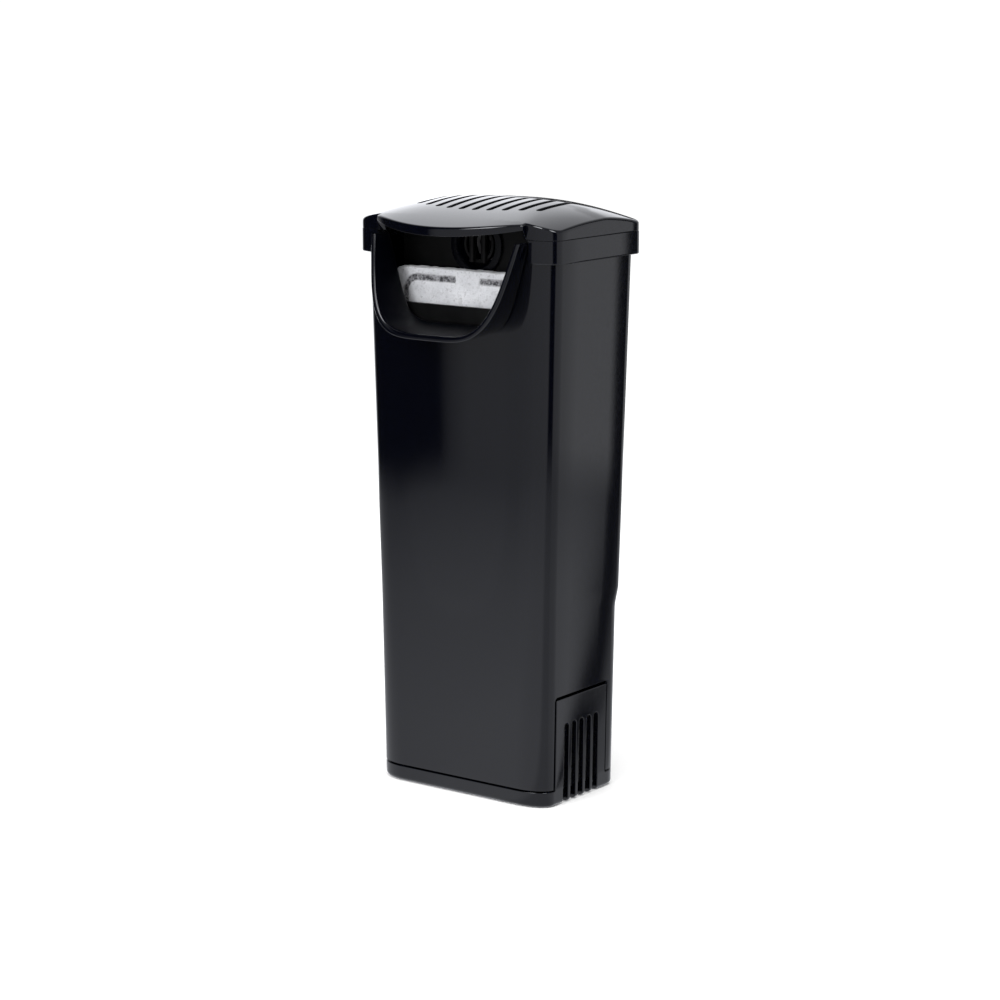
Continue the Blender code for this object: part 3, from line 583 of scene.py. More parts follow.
MATERIALS = {
    "black_gloss": gloss_plastic("black_polished", (0.0005, 0.0007, 0.0022), (0.012, 0.012, 0.013),
                                 0.06, 0.10),
    "black_satin": satin_plastic("black_satin_moulded", (0.0018, 0.0018, 0.002), (0.009, 0.009, 0.009), 0.36,
                                 0.02, 0.14),
    "grey_moulding": satin_plastic("grey_moulded", (0.085, 0.085, 0.09), (0.16, 0.16, 0.165), 0.38),
    "black_rubber": rubber("rubber_black", (0.012, 0.012, 0.012), (0.035, 0.035, 0.034), 0.6),
    "clear_rubber": rubber("rubber_milky", (0.62, 0.64, 0.63), (0.74, 0.75, 0.73), 0.28,
                           Transmission_Weight=0.55, Subsurface_Weight=0.0),
    "floss_white": floss_fabric(),
    "sponge_black": foam("foam_black", (0.022, 0.022, 0.024), (0.05, 0.05, 0.052), 520.0),
    "sponge_blue": foam("foam_blue", (0.05, 0.15, 0.36), (0.10, 0.26, 0.50), 900.0),
    "carbon_bag": net_fabric(),
    "bioceramic": porous_ceramic(),
    "white_ceramic": grained("shaft_ceramic", (300.0, 3.0), ((0.82, 0.81, 0.78), (0.74, 0.72, 0.68)),
                             (0.14, 0.28), (0.004, 0.6), relief=(2500.0, 2.0)),
    "ferrite": grained("ferrite_coated", (1800.0, 4.0), ((0.045, 0.042, 0.040), (0.085, 0.078, 0.070)),
                       (0.34, 0.55), (0.03, 0.7), Metallic=0.25),
    "steel": grained("screw_steel", (900.0, 3.0, 0.6, (1.0, 12.0, 1.0)),
                     ((0.62, 0.62, 0.62), (0.48, 0.48, 0.49)), (0.2, 0.36), (0.01, 0.6), 0.3, Metallic=1.0),
}


def place_piece(obj, slot, body, node):
    """Give a finished piece its material and hang it on its body, in place of its CAD node."""
    obj.data.materials.clear()
    obj.data.materials.append(MATERIALS[slot])
    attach(obj, body)
    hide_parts(node)


def mark_dull_and_shade(obj, amount_of):
    """Store how much each face corner is dulled, from amount_of(face centre in millimetres, normal): a
    rougher finish and painted shade.
    """
    layer = obj.data.color_attributes.new("dull_and_shade", "FLOAT_COLOR", "CORNER")
    for face in obj.data.polygons:
        amount = amount_of(face.center / MM, face.normal)
        for corner in face.loop_indices:
            layer.data[corner].color = (amount, amount, amount, 1.0)


# ---- housing
def make_housing_shell():
    low, high = PARTING_Z + SEAM, SHOULDER[0]
    rings = [shell_ring(low + i * (high - low) / 128) for i in range(129)]
    half = SHOULDER[1] + COLLAR_PROUD
    front, back = SHOULDER[2] - COLLAR_PROUD, SHOULDER[3] + COLLAR_PROUD
    rounding = ((185.0, 1.15), (185.0, 0.42), (185.12, 0.12), (185.42, 0.0), (185.7, 0.0), (192.4, 0.0),
                (192.64, 0.0), (192.76, 0.04), (COLLAR_TOP, 0.16))
    for z, inset in rounding:
        corner = [size - inset for size in COLLAR_CORNER]
        outline = rounded_outline(half - inset, front + inset, back - inset, corner, COLLAR_REAR - inset)
        rings.append([(x, y, z) for x, y in outline])
    shell = make_object("housing_shell", loft(bmesh.new(), rings))

    cavity = [shell_ring(z, WALL) for z in (-5.0, LOW[0], WAIST[0], SHOULDER[0], 200.0)]
    carve(shell, loft(bmesh.new(), cavity))
    window = spout_curve(WINDOW_HALF, WINDOW_DEPTH, WINDOW_POWER, WINDOW_TAPER, 96)
    window = [(WINDOW_HALF, 200.0)] + window + [(-WINDOW_HALF, 200.0)]
    carve(shell, prism(bmesh.new(), window, "Y", -40.0, -15.0))
    carve(shell, box(bmesh.new(), (-COLLAR_END, -40, SHOULDER[0] - 0.5), (COLLAR_END, -24.6, 200)))
    carve(shell, box(bmesh.new(), (20, 15, 186), (29, 35, 200)))  # notch for the cable grommet
    tabs = bmesh.new()
    ledges = bmesh.new()
    for _, side in SIDES:
        box(tabs, (side * 30.0, TAB_FRONT - TAB_GAP, -5), (side * 45.0, TAB_BACK + GAP, TAB_TOP + TAB_GAP),
            1.5, "X", 6)
        box(ledges, (side * 32.0, -9, 58), (side * 36.0, 9, 61.5))
    carve(shell, tabs)
    carve(shell, ledges, "UNION")
    bosses = bmesh.new()
    sockets = bmesh.new()
    for z in CUP_HEIGHTS:
        face = body_section(z)[2]
        for x in (-CUP_X, CUP_X):
            rod(bosses, (x, face - 1.2, z), 5.2, 4.2, "Y")
            rod(sockets, (x, face - 0.9, z), 2.5, 8, "Y")
    carve(shell, bosses, "UNION")
    carve(shell, sockets)
    place_piece(smooth(shell, 24), "black_gloss", "housing", "body_shell")


def make_waterfall_spout():
    # half width, depth, power, taper, y at the tip, lean: flange, flared wall, beaded rim, inside
    rows = (
        (29.9, 30.2, 7.0, 0.280, -22.9, 0.0), (29.9, 30.2, 7.0, 0.280, -24.0, 0.0),
        (29.92, 30.25, 7.0, 0.280, -24.80, 0.0), (30.3, 30.7, 6.6, 0.280, -24.85, 0.0),
        (31.0, 31.4, 6.1, 0.280, -24.85, 0.0), (31.17, 31.6, 6.0, 0.280, -25.1, 0.0),
        (31.15, 32.0, 5.5, 0.255, -26.6, 0.06), (30.98, 32.7, 4.8, 0.215, -28.8, 0.20),
        (30.92, 33.0, 4.4, 0.200, -29.55, 0.262), (30.94, 33.2, 4.35, 0.198, -29.85, 0.280),
        (30.80, 33.1, 4.3, 0.198, -30.22, 0.288), (30.45, 32.75, 4.3, 0.198, -30.38, 0.288),
        (29.55, 31.85, 4.3, 0.198, -30.38, 0.288), (29.18, 31.45, 4.3, 0.198, -30.22, 0.288),
        (29.02, 31.25, 4.35, 0.198, -29.85, 0.280), (29.0, 31.2, 4.4, 0.200, -29.55, 0.262),
        (28.85, 30.7, 4.8, 0.220, -28.2, 0.16), (28.7, 29.9, 5.2, 0.250, -26.2, 0.06),
        (28.62, 29.2, 6.6, 0.277, -23.6, 0.0), (28.6, 29.0, 7.0, 0.280, -22.9, 0.0),
    )
    curves = [[(x, tip_y - lean * (SPOUT_TOP - z), z) for x, z in spout_curve(*shape, 64)]
              for *shape, tip_y, lean in rows]
    spout = make_object("waterfall_spout", loft(bmesh.new(), zip(*curves)))
    mesh = spout.data
    crease = mesh.attributes.new("crease_edge", "FLOAT", "EDGE")
    tip_z = (SPOUT_TOP - 0.001) * MM
    for edge in mesh.edges:
        at_tip = all(mesh.vertices[i].co.z > tip_z for i in edge.vertices)
        crease.data[edge.index].value = 0.9 if at_tip else 0.0
    subdivide(spout)

    # the scoop's inner faces are rougher and have their shine cut down: painted shade inside the chute
    def inside(centre, normal):
        inward = -normal.x * centre.x - normal.z * (centre.z - SPOUT_TOP)
        return 1.0 if inward > 0 and centre.y > -29.6 - 0.29 * (SPOUT_TOP - centre.z) else 0.0

    mark_dull_and_shade(spout, inside)
    place_piece(smooth(spout, 40), "black_gloss", "housing", "spout_scoop")


def make_suction_cups():
    for level, z in zip(("upper", "lower"), CUP_HEIGHTS):
        face = body_section(z)[2]
        reach = 32.4 - face
        for word, side in SIDES:
            profile = [
                (0.0, reach - 2.2), (2.4, reach - 2.05), (4.5, reach - 1.7), (7.0, reach - 0.9),
                (8.6, reach - 0.25), (9.3, reach), (9.8, reach), (10.0, reach - 0.18), (9.9, reach - 0.6),
                (9.4, reach - 1.3), (7.6, reach - 2.6), (5.6, reach - 4.0), (4.7, reach - 4.6), (4.2, 3.9),
                (4.0, 3.6), (2.4, 3.6), (2.1, 3.3), (2.1, -0.1), (1.8, -0.4), (0.0, -0.4),
            ]
            cup = turned(f"sucker_{level}_{word}", profile, (side * CUP_X, face, z), "Y", 56)
            place_piece(smooth(cup, 40), "clear_rubber", "housing", f"suction_cup_{level}_{word}")


# ---- lid
def lid_height(x, y):
    """The lid's top, which falls from its crest to the hood, to the back and to the sides."""
    ahead = max(LID_CREST_Y - y, 0.0) / (LID_CREST_Y - HOOD_FRONT)
    behind = max(y - LID_CREST_Y, 0.0) / (LID_BACK - LID_CREST_Y)
    fall = 7.2 * ahead ** 1.6 + 1.9 * behind ** 2
    across = abs(x) / LID_HALF
    front, middle, rear = 3.9 * across ** 5.5, 5.0 * across ** 3.3, 5.9 * across ** 1.8
    side = middle + (rear - middle) * behind
    side += (front - side) * min(max(-y, 0.0) / 26.0, 1.0)
    return LID_CREST - fall - side


def lid_bottom(x, y):
    share = min(max((LID_FRONT - y) / (LID_FRONT - HOOD_CORNER_Y), 0.0), 1.0)
    return LID_BOTTOM + (0.4 + 2.8 * (x / HOOD_HALF) ** 2) * share


def lid_outline():
    (across, along), rear = LID_CORNER, LID_REAR
    sagitta = HOOD_CORNER_Y - HOOD_FRONT
    hood_radius = (HOOD_HALF ** 2 + sagitta ** 2) / (2 * sagitta)
    half_angle = math.degrees(math.asin(HOOD_HALF / hood_radius))
    back_run = between((0, LID_BACK), (rear - LID_HALF, LID_BACK), 14)
    left = [(0.0, LID_BACK)] + back_run
    left += quarter((rear - LID_HALF, LID_BACK - rear), rear, rear, 90, 10)
    left += between((-LID_HALF, LID_BACK - rear), (-LID_HALF, LID_FRONT + along), 14)
    left += quarter((across - LID_HALF, LID_FRONT + along), across, along, 180, 14)
    hood = arc((0, HOOD_FRONT + hood_radius), hood_radius, 270 - half_angle, 270, 34)
    step = (-HOOD_HALF - 0.1, LID_FRONT)
    left += [step] + between(step, hood[0], 5) + hood
    right = [(-x, y) for x, y in reversed(left[1:-1])]
    return left + right


def lid_normal(x, y):
    step = 0.05
    slope_x = (lid_height(x + step, y) - lid_height(x - step, y)) / (2 * step)
    slope_y = (lid_height(x, y + step) - lid_height(x, y - step)) / (2 * step)
    return Vector((-slope_x, -slope_y, 1.0)).normalized()


def level_lid_top(lid):
    """Give the top faces the curve's own normals, so that the slots' rims don't bend their shading."""
    mesh = lid.data
    normals = [corner.vector.copy() for corner in mesh.corner_normals]
    for face in mesh.polygons:
        x, y, _ = face.center / MM
        if face.normal.dot(lid_normal(x, y)) < 0.97:
            continue
        for i in face.loop_indices:
            x, y, z = mesh.vertices[mesh.loops[i].vertex_index].co / MM
            if abs(z - lid_height(x, y)) < 0.05:
                normals[i] = lid_normal(x, y)
    mesh.normals_split_custom_set([normal[:] for normal in normals])


def slot_cutter(bm, x):
    """A slot that opens out a little where it meets the lid's curved top."""
    front, back = -17.7 + 0.0095 * x * x, 13.0 - 0.004 * x * x
    rings = []
    for grow, height in ((0.0, None), (0.0, -0.30), (0.10, -0.12), (0.30, 0.02), (0.30, None)):
        outline = capsule_outline(x, front - grow, back + grow, LID_SLOT_WIDTH + 2 * grow, 24)
        end = 215.0 if rings else 183.0
        rings.append([(u, v, end if height is None else lid_height(u, v) + height) for u, v in outline])
    loft(bm, rings)


def make_slotted_lid():
    outline = lid_outline()
    focus = Vector(LID_FOCUS)
    shares = (8, 17, 26, 35, 44, 52, 60, 67, 73, 79, 84, 88, 92)
    # how far in from the edge, share of the way out, height over the rim, depth under the top: the ceiling,
    # the inside of the wall, its rounded lower edge, its rounded shoulder and the top
    rows = [(0.0, share / 100, None, -WALL) for share in shares]
    rows += [(inset, 1.0, None, -WALL) for inset in (3.2, 2.3)]
    rows += [(inset, 1.0, lift, None) for inset, lift in (
        (WALL, 0.35), (WALL, 0.10), (WALL - 0.15, 0.0), (0.14, 0.0), (0.04, 0.04), (0.0, 0.14), (0.0, 0.34))]
    rows += [(inset, 1.0, None, drop) for inset, drop in (
        (0.0, -1.15), (0.0, -0.95), (0.06, -0.55), (0.24, -0.25), (0.55, -0.07), (0.95, 0.0), (1.6, 0.0),
        (2.4, 0.0))]
    rows += [(0.0, share / 100, None, 0.0) for share in reversed(shares)]
    rings = []
    for inset, share, lift, drop in rows:
        ring = []
        for edge in outline:
            spoke = Vector(edge) - focus
            q = focus + spoke * share - spoke.normalized() * inset
            z = lid_bottom(*edge)
            if drop is None:
                z += lift
            else:
                z = max(lid_height(*q) + drop, z + 0.42)
            ring.append((q.x, q.y, z))
        rings.append(ring)
    bm = loft(bmesh.new(), rings, capped=False)
    crest, count, verts = lid_height(*focus), len(outline), list(bm.verts)
    for ring, height in ((verts[:count], crest - WALL), (verts[-count:], crest)):
        middle = bm.verts.new((*focus, height))
        for i, vert in enumerate(ring):
            bm.faces.new((vert, ring[(i + 1) % count], middle))
    lid = make_object("slotted_lid", bm)
    for i in range(LID_SLOTS):
        tool = bmesh.new()
        slot_cutter(tool, (i - (LID_SLOTS - 1) / 2) * LID_SLOT_PITCH)
        carve(lid, tool)
    lips = bmesh.new()
    for _, side in SIDES:
        box(lips, (side * 36.1, -13, 189.8), (side * 37.4, 13, 198.5), 0.5, "Y", 3)
    carve(lid, lips, "UNION")

    # the slot walls have their shine cut down: painted shade inside the slots
    def in_slot(centre, normal):
        return 1.0 if abs(centre.x) < 30 and abs(normal.z) < 0.6 and -22 < centre.y < 16 else 0.0

    mark_dull_and_shade(lid, in_slot)
    level_lid_top(smooth(lid, 35))
    place_piece(lid, "black_gloss", "lid_cover", "lid")


# ---- media cassette
def make_floss():
    """A heat-bonded pad with an arch-shaped weld line sunk into its face; the material paints the groove dark
    as painted shade.
    """
    low, high = Vector((-30.6, -18.0, 64.7)), Vector((30.6, -13.3, 180.5))
    pad = make_object("floss", box(bmesh.new(), low, high, 3.2, "Y", 5))
    remesh(pad, 0.72)
    middle = (low.y + high.y) / 2

    def weld(point):
        """Distance into the weld line, from 0 outside it to 1 in its middle."""
        x, z = abs(point.x), point.z
        half, top, corner, gap = 26.3, 176.6, 5.0, 4.5
        if point.y > middle or x < gap:
            return 0.0
        dx, dz = x - (half - corner), z - (top - corner)
        if dx > 0 and dz > 0:
            away = abs(math.hypot(dx, dz) - corner)
        elif dz > 0:
            away = abs(z - top)
        else:
            away = abs(x - half)
        return ease(1.6 - away / 0.85) * ease((x - gap) / 1.2)

    def fluff(point):
        lumps = 0.30 * noise.noise(point * 0.22) + 0.22 * noise.noise(point * 0.75)
        fuzz = 0.16 * noise.noise(point * 1.9)
        return lumps + fuzz - 0.25 - 0.75 * weld(point)

    # the groove's depth is stored for the material, which paints painted shade there
    groove_shade = [weld(vert.co / MM) for vert in pad.data.vertices]
    displace(pad, fluff)
    layer = pad.data.color_attributes.new("groove_shade", "FLOAT_COLOR", "POINT")
    for vert, value in zip(pad.data.vertices, groove_shade):
        layer.data[vert.index].color = (value, value, value, 1.0)
    pad.data.shade_smooth()
    place_piece(pad, "floss_white", "media_cassette", "floss_pad")


def make_foam(name, node, low, high, slot, body, pore, depth, hole=None, corner=2.5, along="Z", voxel=0.8):
    """A cut block of open foam: soft edges, a pitted skin, and a bored hole where the riser passes."""
    block = make_object(name, box(bmesh.new(), low, high, corner, along, 4))
    if hole is not None:
        carve(block, rod(bmesh.new(), (hole[0], hole[1], low[2] - 5), hole[2], high[2] - low[2] + 10))
    remesh(block, voxel)
    centre = (Vector(low) + Vector(high)) / 2
    half = (Vector(high) - Vector(low)) / 2

    def pits(point):
        cell = noise.voronoi(point * pore)[0][0]
        from_face = max(abs(point[i] - centre[i]) / half[i] for i in range(3))
        swell = 0.25 * noise.noise(point * 0.11) if from_face > 0.9 else 0.0
        return -depth * max(0.0, 1 - cell / 0.42) + swell - 0.3

    displace(block, pits)
    block.data.shade_smooth()
    place_piece(block, slot, body, node)


def make_pouch(name, node, low, high):
    """A net bag: two crowned faces that meet in a thin welded seam, lumpy with grains."""
    low, high = Vector(low), Vector(high)
    centre, half = (low + high) / 2, (high - low) / 2
    across, along = 46, 54
    bm = bmesh.new()

    def point(i, j, side):
        u, v = 2 * i / across - 1, 2 * j / along - 1
        squareness = 1 - 0.10 * (u * u * v * v)
        seam = min(1.0, 9 * (1 - max(abs(u), abs(v))))
        crown = ((1 - abs(u) ** 3.0) * (1 - abs(v) ** 3.4)) ** 0.5
        sag = 1 - 0.12 * (1 - abs(v)) * (1 - abs(u))
        x, y = centre.x + half.x * u * squareness, centre.y + half.y * v * squareness
        body = max(0.0, crown * seam ** 0.5) * (half.z - 0.75) * sag
        at = Vector((x, y, side * 31.7))
        grains = 0.45 * (0.5 - noise.voronoi(at * 0.42)[0][0]) + 0.5 * noise.noise(at * 0.16)
        pucker = 0.35 * math.sin(26 * (u if abs(v) > abs(u) else v)) * max(0.0, 1 - seam) * 0.6
        thick = 0.28 + body + grains * ease(seam * 1.4) * 0.8
        return x, y, centre.z + side * thick + pucker

    grids = {}
    for side in (-1, 1):
        for i in range(across + 1):
            for j in range(along + 1):
                grids[side, i, j] = bm.verts.new(point(i, j, side))
        for i in range(across):
            for j in range(along):
                bm.faces.new([grids[side, i + a, j + b] for a, b in ((0, 0), (1, 0), (1, 1), (0, 1))])
    rim = [(i, 0) for i in range(across)] + [(across, j) for j in range(along)]
    rim += [(i, along) for i in range(across, 0, -1)] + [(0, j) for j in range(along, 0, -1)]
    for (i, j), (k, m) in zip(rim, rim[1:] + rim[:1]):
        bm.faces.new((grids[-1, i, j], grids[-1, k, m], grids[1, k, m], grids[1, i, j]))
    pouch = make_object(name, bm)
    pouch.data.shade_smooth()
    place_piece(pouch, "carbon_bag", "media_cassette", node)


def make_soft_media():
    half, front, back = MEDIA_HALF, MEDIA_FRONT, MEDIA_BACK
    riser = (0.0, RISER_Y, RISER_HOLE)
    make_foam("foam_coarse", "coarse_sponge", (-half, front, 63.7), (half, back, 103.5), "sponge_black",
              "media_cassette", 0.42, 0.8, riser)
    make_foam("foam_fine", "fine_sponge", (-half, front, 151.0), (half, back, 173.0), "sponge_blue",
              "media_cassette", 0.75, 0.45, riser)
    make_pouch("carbon_left", "carbon_pouch_left", (-half, front, 127.5), (-8.0, back, 150.5))
    make_pouch("carbon_right", "carbon_pouch_right", (8.0, front, 127.5), (half, back, 150.5))
    for word, side in SIDES:
        low_x, high_x = sorted((side * 18.6, side * 32.9))
        make_foam(f"foam_intake_{word}", f"intake_sponge_{word}", (low_x, -15.0, FLOOR_TOP + GAP),
                  (high_x, 12.6, 34.0), "sponge_black", "pump_base", 0.5, 0.7, None, 2.0, "Y")


def make_ceramic_rings():
    number = 0
    for x in (-25.0, -11.5, 11.5, 25.0):
        for y in (-3.0, 11.5):
            number += 1
            profile = [(5.5, 20.0), (5.9, 19.6), (5.9, 13.0), (5.9, 6.5), (5.9, 0.4), (5.5, 0.0), (3.2, 0.0),
                       (2.8, 0.4), (2.8, 7.0), (2.8, 13.0), (2.8, 19.6), (3.2, 20.0)]
            ring = turned(f"bioring_{number}", profile, (x, y, 105.0), "Z", 36)
            displace(ring, lambda p: 0.14 * noise.noise(p * 0.55) - 0.06)
            place_piece(smooth(ring, 45), "bioceramic", "media_cassette", f"ceramic_ring_{number}")


def make_basket():
    half, front, back, bottom, top, corner, wall = 33.6, -20.6, 19.8, 61.8, 176.0, 4.5, 1.6
    tight = corner - wall
    plain = (8, (1, 1, 1, 1))
    outer = rounded_outline(half, front, back, (corner, corner), corner, *plain)
    inner = rounded_outline(half - wall, front + wall, back - wall, (tight, tight), tight, *plain)
    basket = make_object("basket", prism(bmesh.new(), outer, "Z", bottom, top))
    carve(basket, prism(bmesh.new(), inner, "Z", bottom + wall, 200))
    carve(basket, box(bmesh.new(), (-31, -30, SILL_Z), (31, -17.5, 200), 1.5, "Y", 4))
    holes = rod(bmesh.new(), (0, RISER_Y, 50), RISER_HOLE, 20)
    for x in (-24.0, -16.0, 16.0, 24.0):
        for y in (-4.0, 4.0, 12.0):
            box(holes, (x - 2.2, y - 2.2, 50), (x + 2.2, y + 2.2, 70), 0.5)
    carve(basket, holes)
    ribs = bmesh.new()
    for x in (-22.0, -11.0, 0.0, 11.0, 22.0):
        box(ribs, (x - 0.6, 19.0, 66.0), (x + 0.6, 20.25, 172.0))
    carve(basket, ribs, "UNION")
    round_edges(basket, 0.3)
    place_piece(basket, "black_satin", "media_cassette", "media_basket")


def make_baffle():
    low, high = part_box("baffle_panel")
    panel = make_object("baffle", box(bmesh.new(), low / MM, high / MM))
    carve(panel, rod(bmesh.new(), (0, -20, NOZZLE_Z), 8.1, 20, "Y", 64))
    round_edges(panel, 0.25)
    place_piece(panel, "black_satin", "media_cassette", "baffle_panel")


def make_nozzle():
    length = 9.6
    profile = [
        (10.0, length), (10.5, length - 0.12), (10.7, length - 0.4), (10.7, length - 0.9),
        (7.9, length - 0.9), (7.8, length - 1.3), (7.7, 0.3), (7.4, 0.0), (6.5, 0.0), (6.3, 0.3),
        (6.3, length - 7.4), (6.4, length - 5.5), (6.8, length - 4.0), (7.5, length - 1.4),
        (7.95, length - 0.35), (8.25, length),
    ]
    nozzle = turned("nozzle", profile, (0, -3.2, NOZZLE_Z), "-Y", 72)
    # the whole nozzle has its shine cut down: painted shade under the hood
    mark_dull_and_shade(nozzle, lambda centre, normal: 0.8)
    place_piece(smooth(nozzle, 35), "black_gloss", "media_cassette", "outlet_nozzle")

    back = -9.4
    ring = make_object("nozzle_vanes", rod(bmesh.new(), (0, back - 1.6, NOZZLE_Z), 6.2, 1.6, "Y", 56))
    carve(ring, rod(bmesh.new(), (0, back - 10, NOZZLE_Z), 5.3, 20, "Y", 56))
    for x in (-2.5, 2.5):
        slat = box(bmesh.new(), (x - 1.0, -12.2, NOZZLE_Z - 6), (x + 1.0, back - 0.2, NOZZLE_Z + 6), 0.6)
        carve(ring, slat, "UNION")
    round_edges(ring, 0.15)
    place_piece(ring, "black_satin", "media_cassette", "outlet_vanes")


# ---- base and pump
def make_base():
    rounding = ((0.0, 1.5), (0.07, 1.1), (0.22, 0.75), (0.44, 0.44), (0.75, 0.22), (1.1, 0.07), (1.5, 0.0))
    splits = (14, (1, 1, 1, 1))
    rings = [shell_ring(z, inset, *splits) for z, inset in (*rounding, (TAB_TOP, 0.0))]
    tray = make_object("base", loft(bmesh.new(), rings))
    carve(tray, loft(bmesh.new(), [shell_ring(z, WALL, *splits) for z in (FLOOR_TOP, 45.0)]))
    for front, back in ((-40, TAB_FRONT), (TAB_BACK, 40)):
        carve(tray, box(bmesh.new(), (-50, front, PARTING_Z), (50, back, 60)))
    for i in range(INTAKE_SLOTS):
        for _, side in SIDES:
            outline = capsule_outline(INTAKE_FIRST_Y + i * INTAKE_PITCH, -8.0, INTAKE_TOP, INTAKE_WIDTH)
            low_x, high_x = sorted((side * 32.4, side * 45.0))
            carve(tray, prism(bmesh.new(), outline, "X", low_x, high_x))
    cradle = bmesh.new()
    for x in (-11.0, 11.0):
        box(cradle, (x - 1.5, -17, FLOOR_TOP - 1), (x + 1.5, -1, 7.2))
    carve(tray, cradle, "UNION")
    round_edges(tray, 0.28, 3, 40)
    place_piece(tray, "black_gloss", "pump_base", "base_tray")


def dress_cad_nodes():
    """The small mouldings whose CAD shape is right keep it, and get a finished material."""
    slots = {row["node"]: row["material_slot"] for row in frame["record"]["subparts"]}
    for name, obj in frame["nodes"].items():
        obj.data.materials.clear()
        obj.data.materials.append(MATERIALS[slots[name]])


# ---- studio
def emitter(name, strength_of):
    """An emission material whose strength strength_of wires up from object coordinates."""
    n = Nodes(name)
    op = n.combine
    glow = n.add("ShaderNodeEmission")
    split = n.add("ShaderNodeSeparateXYZ")
    n.join(n.place, split.inputs[0])

    def ramp(value, stops):
        """Linear ramp through (input, output) stops."""
        low, high = stops[0][0], stops[-1][0]
        scaled = op("DIVIDE", op("SUBTRACT", value, low), high - low)
        node = n.add("ShaderNodeValToRGB")
        elements = node.color_ramp.elements
        elements.remove(elements[1])
        top = max(level for _, level in stops)
        for at, level in stops:
            element = elements[0] if at == low else elements.new((at - low) / (high - low))
            element.color = (*[level / top] * 3, 1.0)
        n.join(scaled, node.inputs[0])
        return op("MULTIPLY", node.outputs[0], top)

    strength, tint, cover = strength_of(op, ramp, *split.outputs)
    n.put(glow.inputs["Strength"], strength)
    n.put(glow.inputs["Color"], tint)
    light = glow.outputs[0]
    if cover is not None:
        mix = n.add("ShaderNodeMixShader")
        clear = n.add("ShaderNodeBsdfTransparent").outputs[0]
        for source, socket in zip((cover, clear, light), mix.inputs):
            n.join(source, socket)
        light = mix.outputs[0]
    n.join(light, n.tree.nodes["Material Output"].inputs["Surface"])
    return n.material


def only_reflected(obj):
    obj.visible_camera = obj.visible_diffuse = obj.visible_transmission = obj.visible_shadow = False


def azimuth_from_spout(op, x, y):
    return op("MULTIPLY", op("ARCTAN2", x, op("MULTIPLY", y, -1.0)), math.degrees(1))


def flat_distance(op, x, y):
    return op("SQRT", op("ADD", op("POWER", x, 2.0), op("POWER", y, 2.0)))


def studio_walls(op, ramp, x, y, z):
    """Soft boxes and dark flags round the object, by azimuth from the spout and by elevation."""
    azimuth = azimuth_from_spout(op, x, y)
    elevation = op("MULTIPLY", op("ARCTAN2", z, flat_distance(op, x, y)), math.degrees(1))
    around = ramp(azimuth, (
        (-180, 1.3), (-170, 1.6), (-144.6, 1.65), (-142.6, 2.1), (-120, 2.1), (-105, 0.4), (-95, 0.02),
        (-40.6, 0.02), (-38.8, 0.26), (-34, 0.46), (-10, 0.56), (35, 0.62), (41, 0.02), (62, 0.02),
        (68, 0.62), (100, 0.68), (138.5, 0.68), (141.5, 0.76), (146.4, 0.90), (147.0, 0.03), (151.2, 0.03),
        (154.5, 0.5), (170, 0.7), (180, 1.1)))
    low = ramp(elevation, ((-90, 0.5), (-30, 1.0), (18, 1.0), (34, 0.66), (70, 0.62), (90, 0.5)))
    behind = ramp(azimuth, ((-180, 1.0), (-144.4, 1.0), (-143.2, 0.0), (180, 0.0)))
    horizon = ramp(elevation, ((-90, 0.0), (-9, 0.0), (-8, 0.97), (8.2, 0.97), (10.2, 0.0), (90, 0.0)))
    open_sky = op("SUBTRACT", 1.0, op("MULTIPLY", behind, horizon))

    def inside(angle, at, half):
        away = op("ABSOLUTE", op("SUBTRACT", angle, at))
        return ramp(away, ((0, 1.0), (half, 1.0), (half + 4, 0.0), (half + 5, 0.0)))

    def soft_box(azimuth_at, elevation_at):
        spans = inside(azimuth, azimuth_at, 11), inside(elevation, elevation_at, 12)
        return op("MULTIPLY", op("MULTIPLY", *spans), SOFT_BOX_LEVEL)

    boxes = op("ADD", soft_box(-8, 48), soft_box(54, 50))
    walls = op("MULTIPLY", op("MULTIPLY", around, low), open_sky)
    return op("ADD", walls, boxes), (0.94, 0.955, 1.0), None


def studio_table(op, ramp, x, y, z):
    """The pale table as the gloss sees it: it darkens away from the object and ends in a soft edge."""
    away = flat_distance(op, x, y)
    level = ramp(away, ((0.0, 1.0), (0.12, 1.0), (0.30, 0.9), (0.45, 0.72), (0.62, 0.52), (0.7, 0.5)))
    cover = ramp(away, ((0.0, 1.0), (0.50, 1.0), (0.62, 0.0), (0.7, 0.0)))
    azimuth = azimuth_from_spout(op, x, y)
    lit = ramp(azimuth, (
        (-180, 0.85), (-60, 0.85), (-36, 0.95), (-20, 1.02), (32, 1.02), (42, 0.74), (62, 0.72), (70, 0.84),
        (143, 0.84), (180, 0.85)))
    left = ramp(x, ((-0.6, 0.62), (-0.35, 0.72), (-0.05, 1.0), (0.6, 1.0)))
    past_corner = azimuth_from_spout(op, op("SUBTRACT", x, 0.047), y)
    shadow = ramp(past_corner, (
        (-180, 1.0), (147.5, 1.0), (148.1, 0.06), (152.2, 0.06), (155.5, 0.6), (180, 0.8)))
    level = op("MULTIPLY", op("MULTIPLY", level, lit), op("MULTIPLY", left, shadow))
    return level, (0.92, 0.94, 1.0), cover


def direction(azimuth, elevation):
    """The unit vector at an azimuth from the spout and an elevation, in degrees."""
    a, e = math.radians(azimuth), math.radians(elevation)
    return Vector((math.sin(a) * math.cos(e), -math.cos(a) * math.cos(e), math.sin(e)))


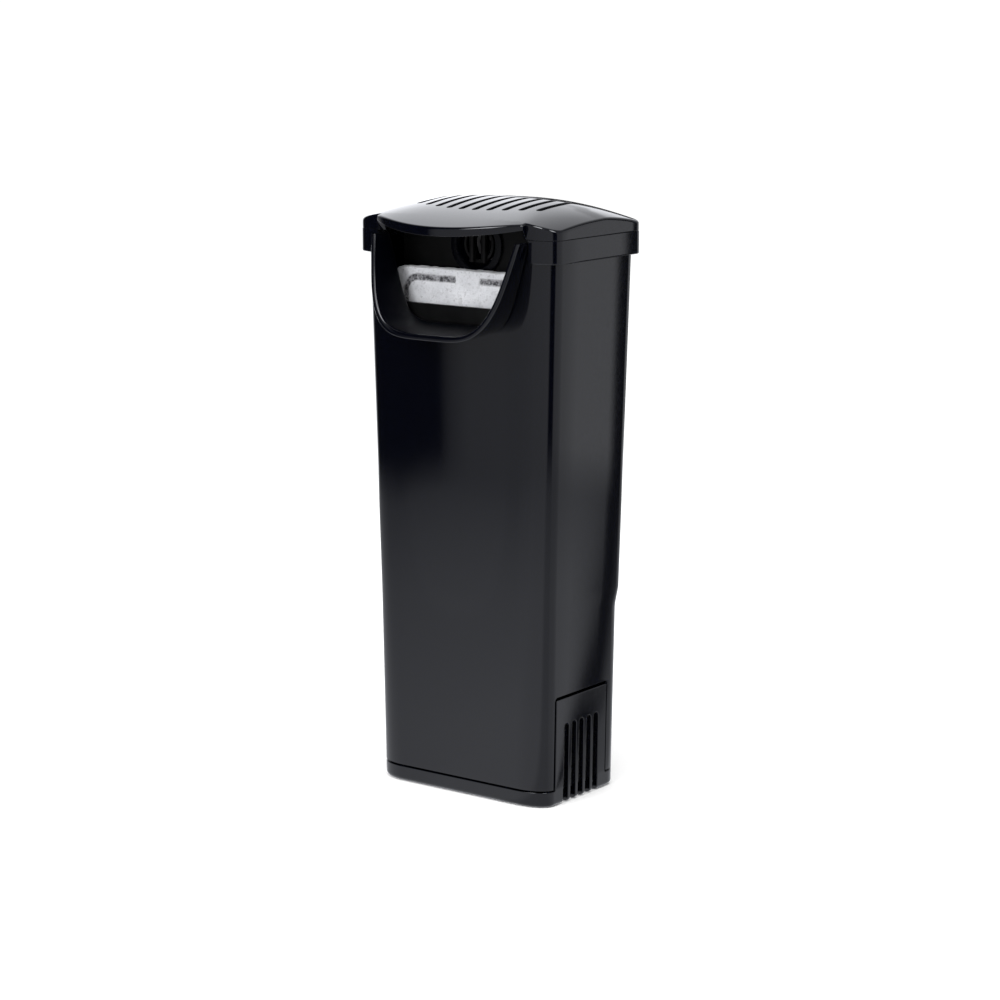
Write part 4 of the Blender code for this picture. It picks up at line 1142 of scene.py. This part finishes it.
def make_studio():
    scene = bpy.context.scene
    scene.world = world = bpy.data.worlds.new("studio")
    world.use_nodes = True
    background = world.node_tree.nodes["Background"]
    background.inputs["Color"].default_value = (1.0, 1.0, 1.0, 1.0)
    background.inputs["Strength"].default_value = 1.05
    world.cycles_visibility.glossy = False

    bm = bmesh.new()
    bmesh.ops.create_uvsphere(bm, u_segments=48, v_segments=24, radius=4000.0)
    dome = make_object("studio_dome", bm)
    dome.data.materials.append(emitter("studio_walls", studio_walls))
    only_reflected(dome)

    bm = bmesh.new()
    bmesh.ops.create_circle(bm, cap_ends=True, segments=96, radius=690.0)
    table = make_object("studio_table", bm)
    table.location.z = -0.0004
    table.data.materials.append(emitter("studio_table_top", studio_table))
    only_reflected(table)

    floor_mesh = bmesh.new()
    bmesh.ops.create_grid(floor_mesh, x_segments=1, y_segments=1, size=3500.0)
    floor = make_object("floor", floor_mesh)
    floor.location.z = -0.0002
    n = Nodes("floor_paper")
    n.finish((0.97, 0.97, 0.97), 1.0, None, Specular_IOR_Level=0.0)
    floor.data.materials.append(n.material)
    floor.visible_glossy = False

    lamps = (("front_softbox", -12, 34, 0.9, 13), ("top_softbox", 60, 68, 0.8, 8))
    for name, azimuth, elevation, size, power in lamps:
        lamp = bpy.data.lights.new(name, "AREA")
        lamp.size = size
        lamp.energy = power
        obj = link(name, lamp)
        away = direction(azimuth, elevation)
        obj.location = STUDIO_CENTRE + away * 1.5
        obj.rotation_euler = away.to_track_quat("Z", "Y").to_euler()
        obj.visible_glossy = False
        obj.visible_camera = False

    back = direction(CAMERA_AZIMUTH, CAMERA_ELEVATION)
    right = direction(CAMERA_AZIMUTH + 90, 0)
    up = back.cross(right)
    camera = bpy.data.cameras.new("camera")
    camera.lens = CAMERA_LENS
    eye = link("camera", camera)
    place = STUDIO_CENTRE + back * CAMERA_AWAY + right * 0.00054 - up * 0.00061
    eye.matrix_world = Matrix.Translation(place) @ Matrix((right, up, back)).transposed().to_4x4()
    scene.camera = eye
    scene.view_settings.view_transform = "Standard"


for step in (dress_cad_nodes, make_housing_shell, make_waterfall_spout, make_suction_cups, make_slotted_lid,
             make_floss, make_soft_media, make_ceramic_rings, make_basket, make_baffle, make_nozzle,
             make_base, make_studio):
    step()
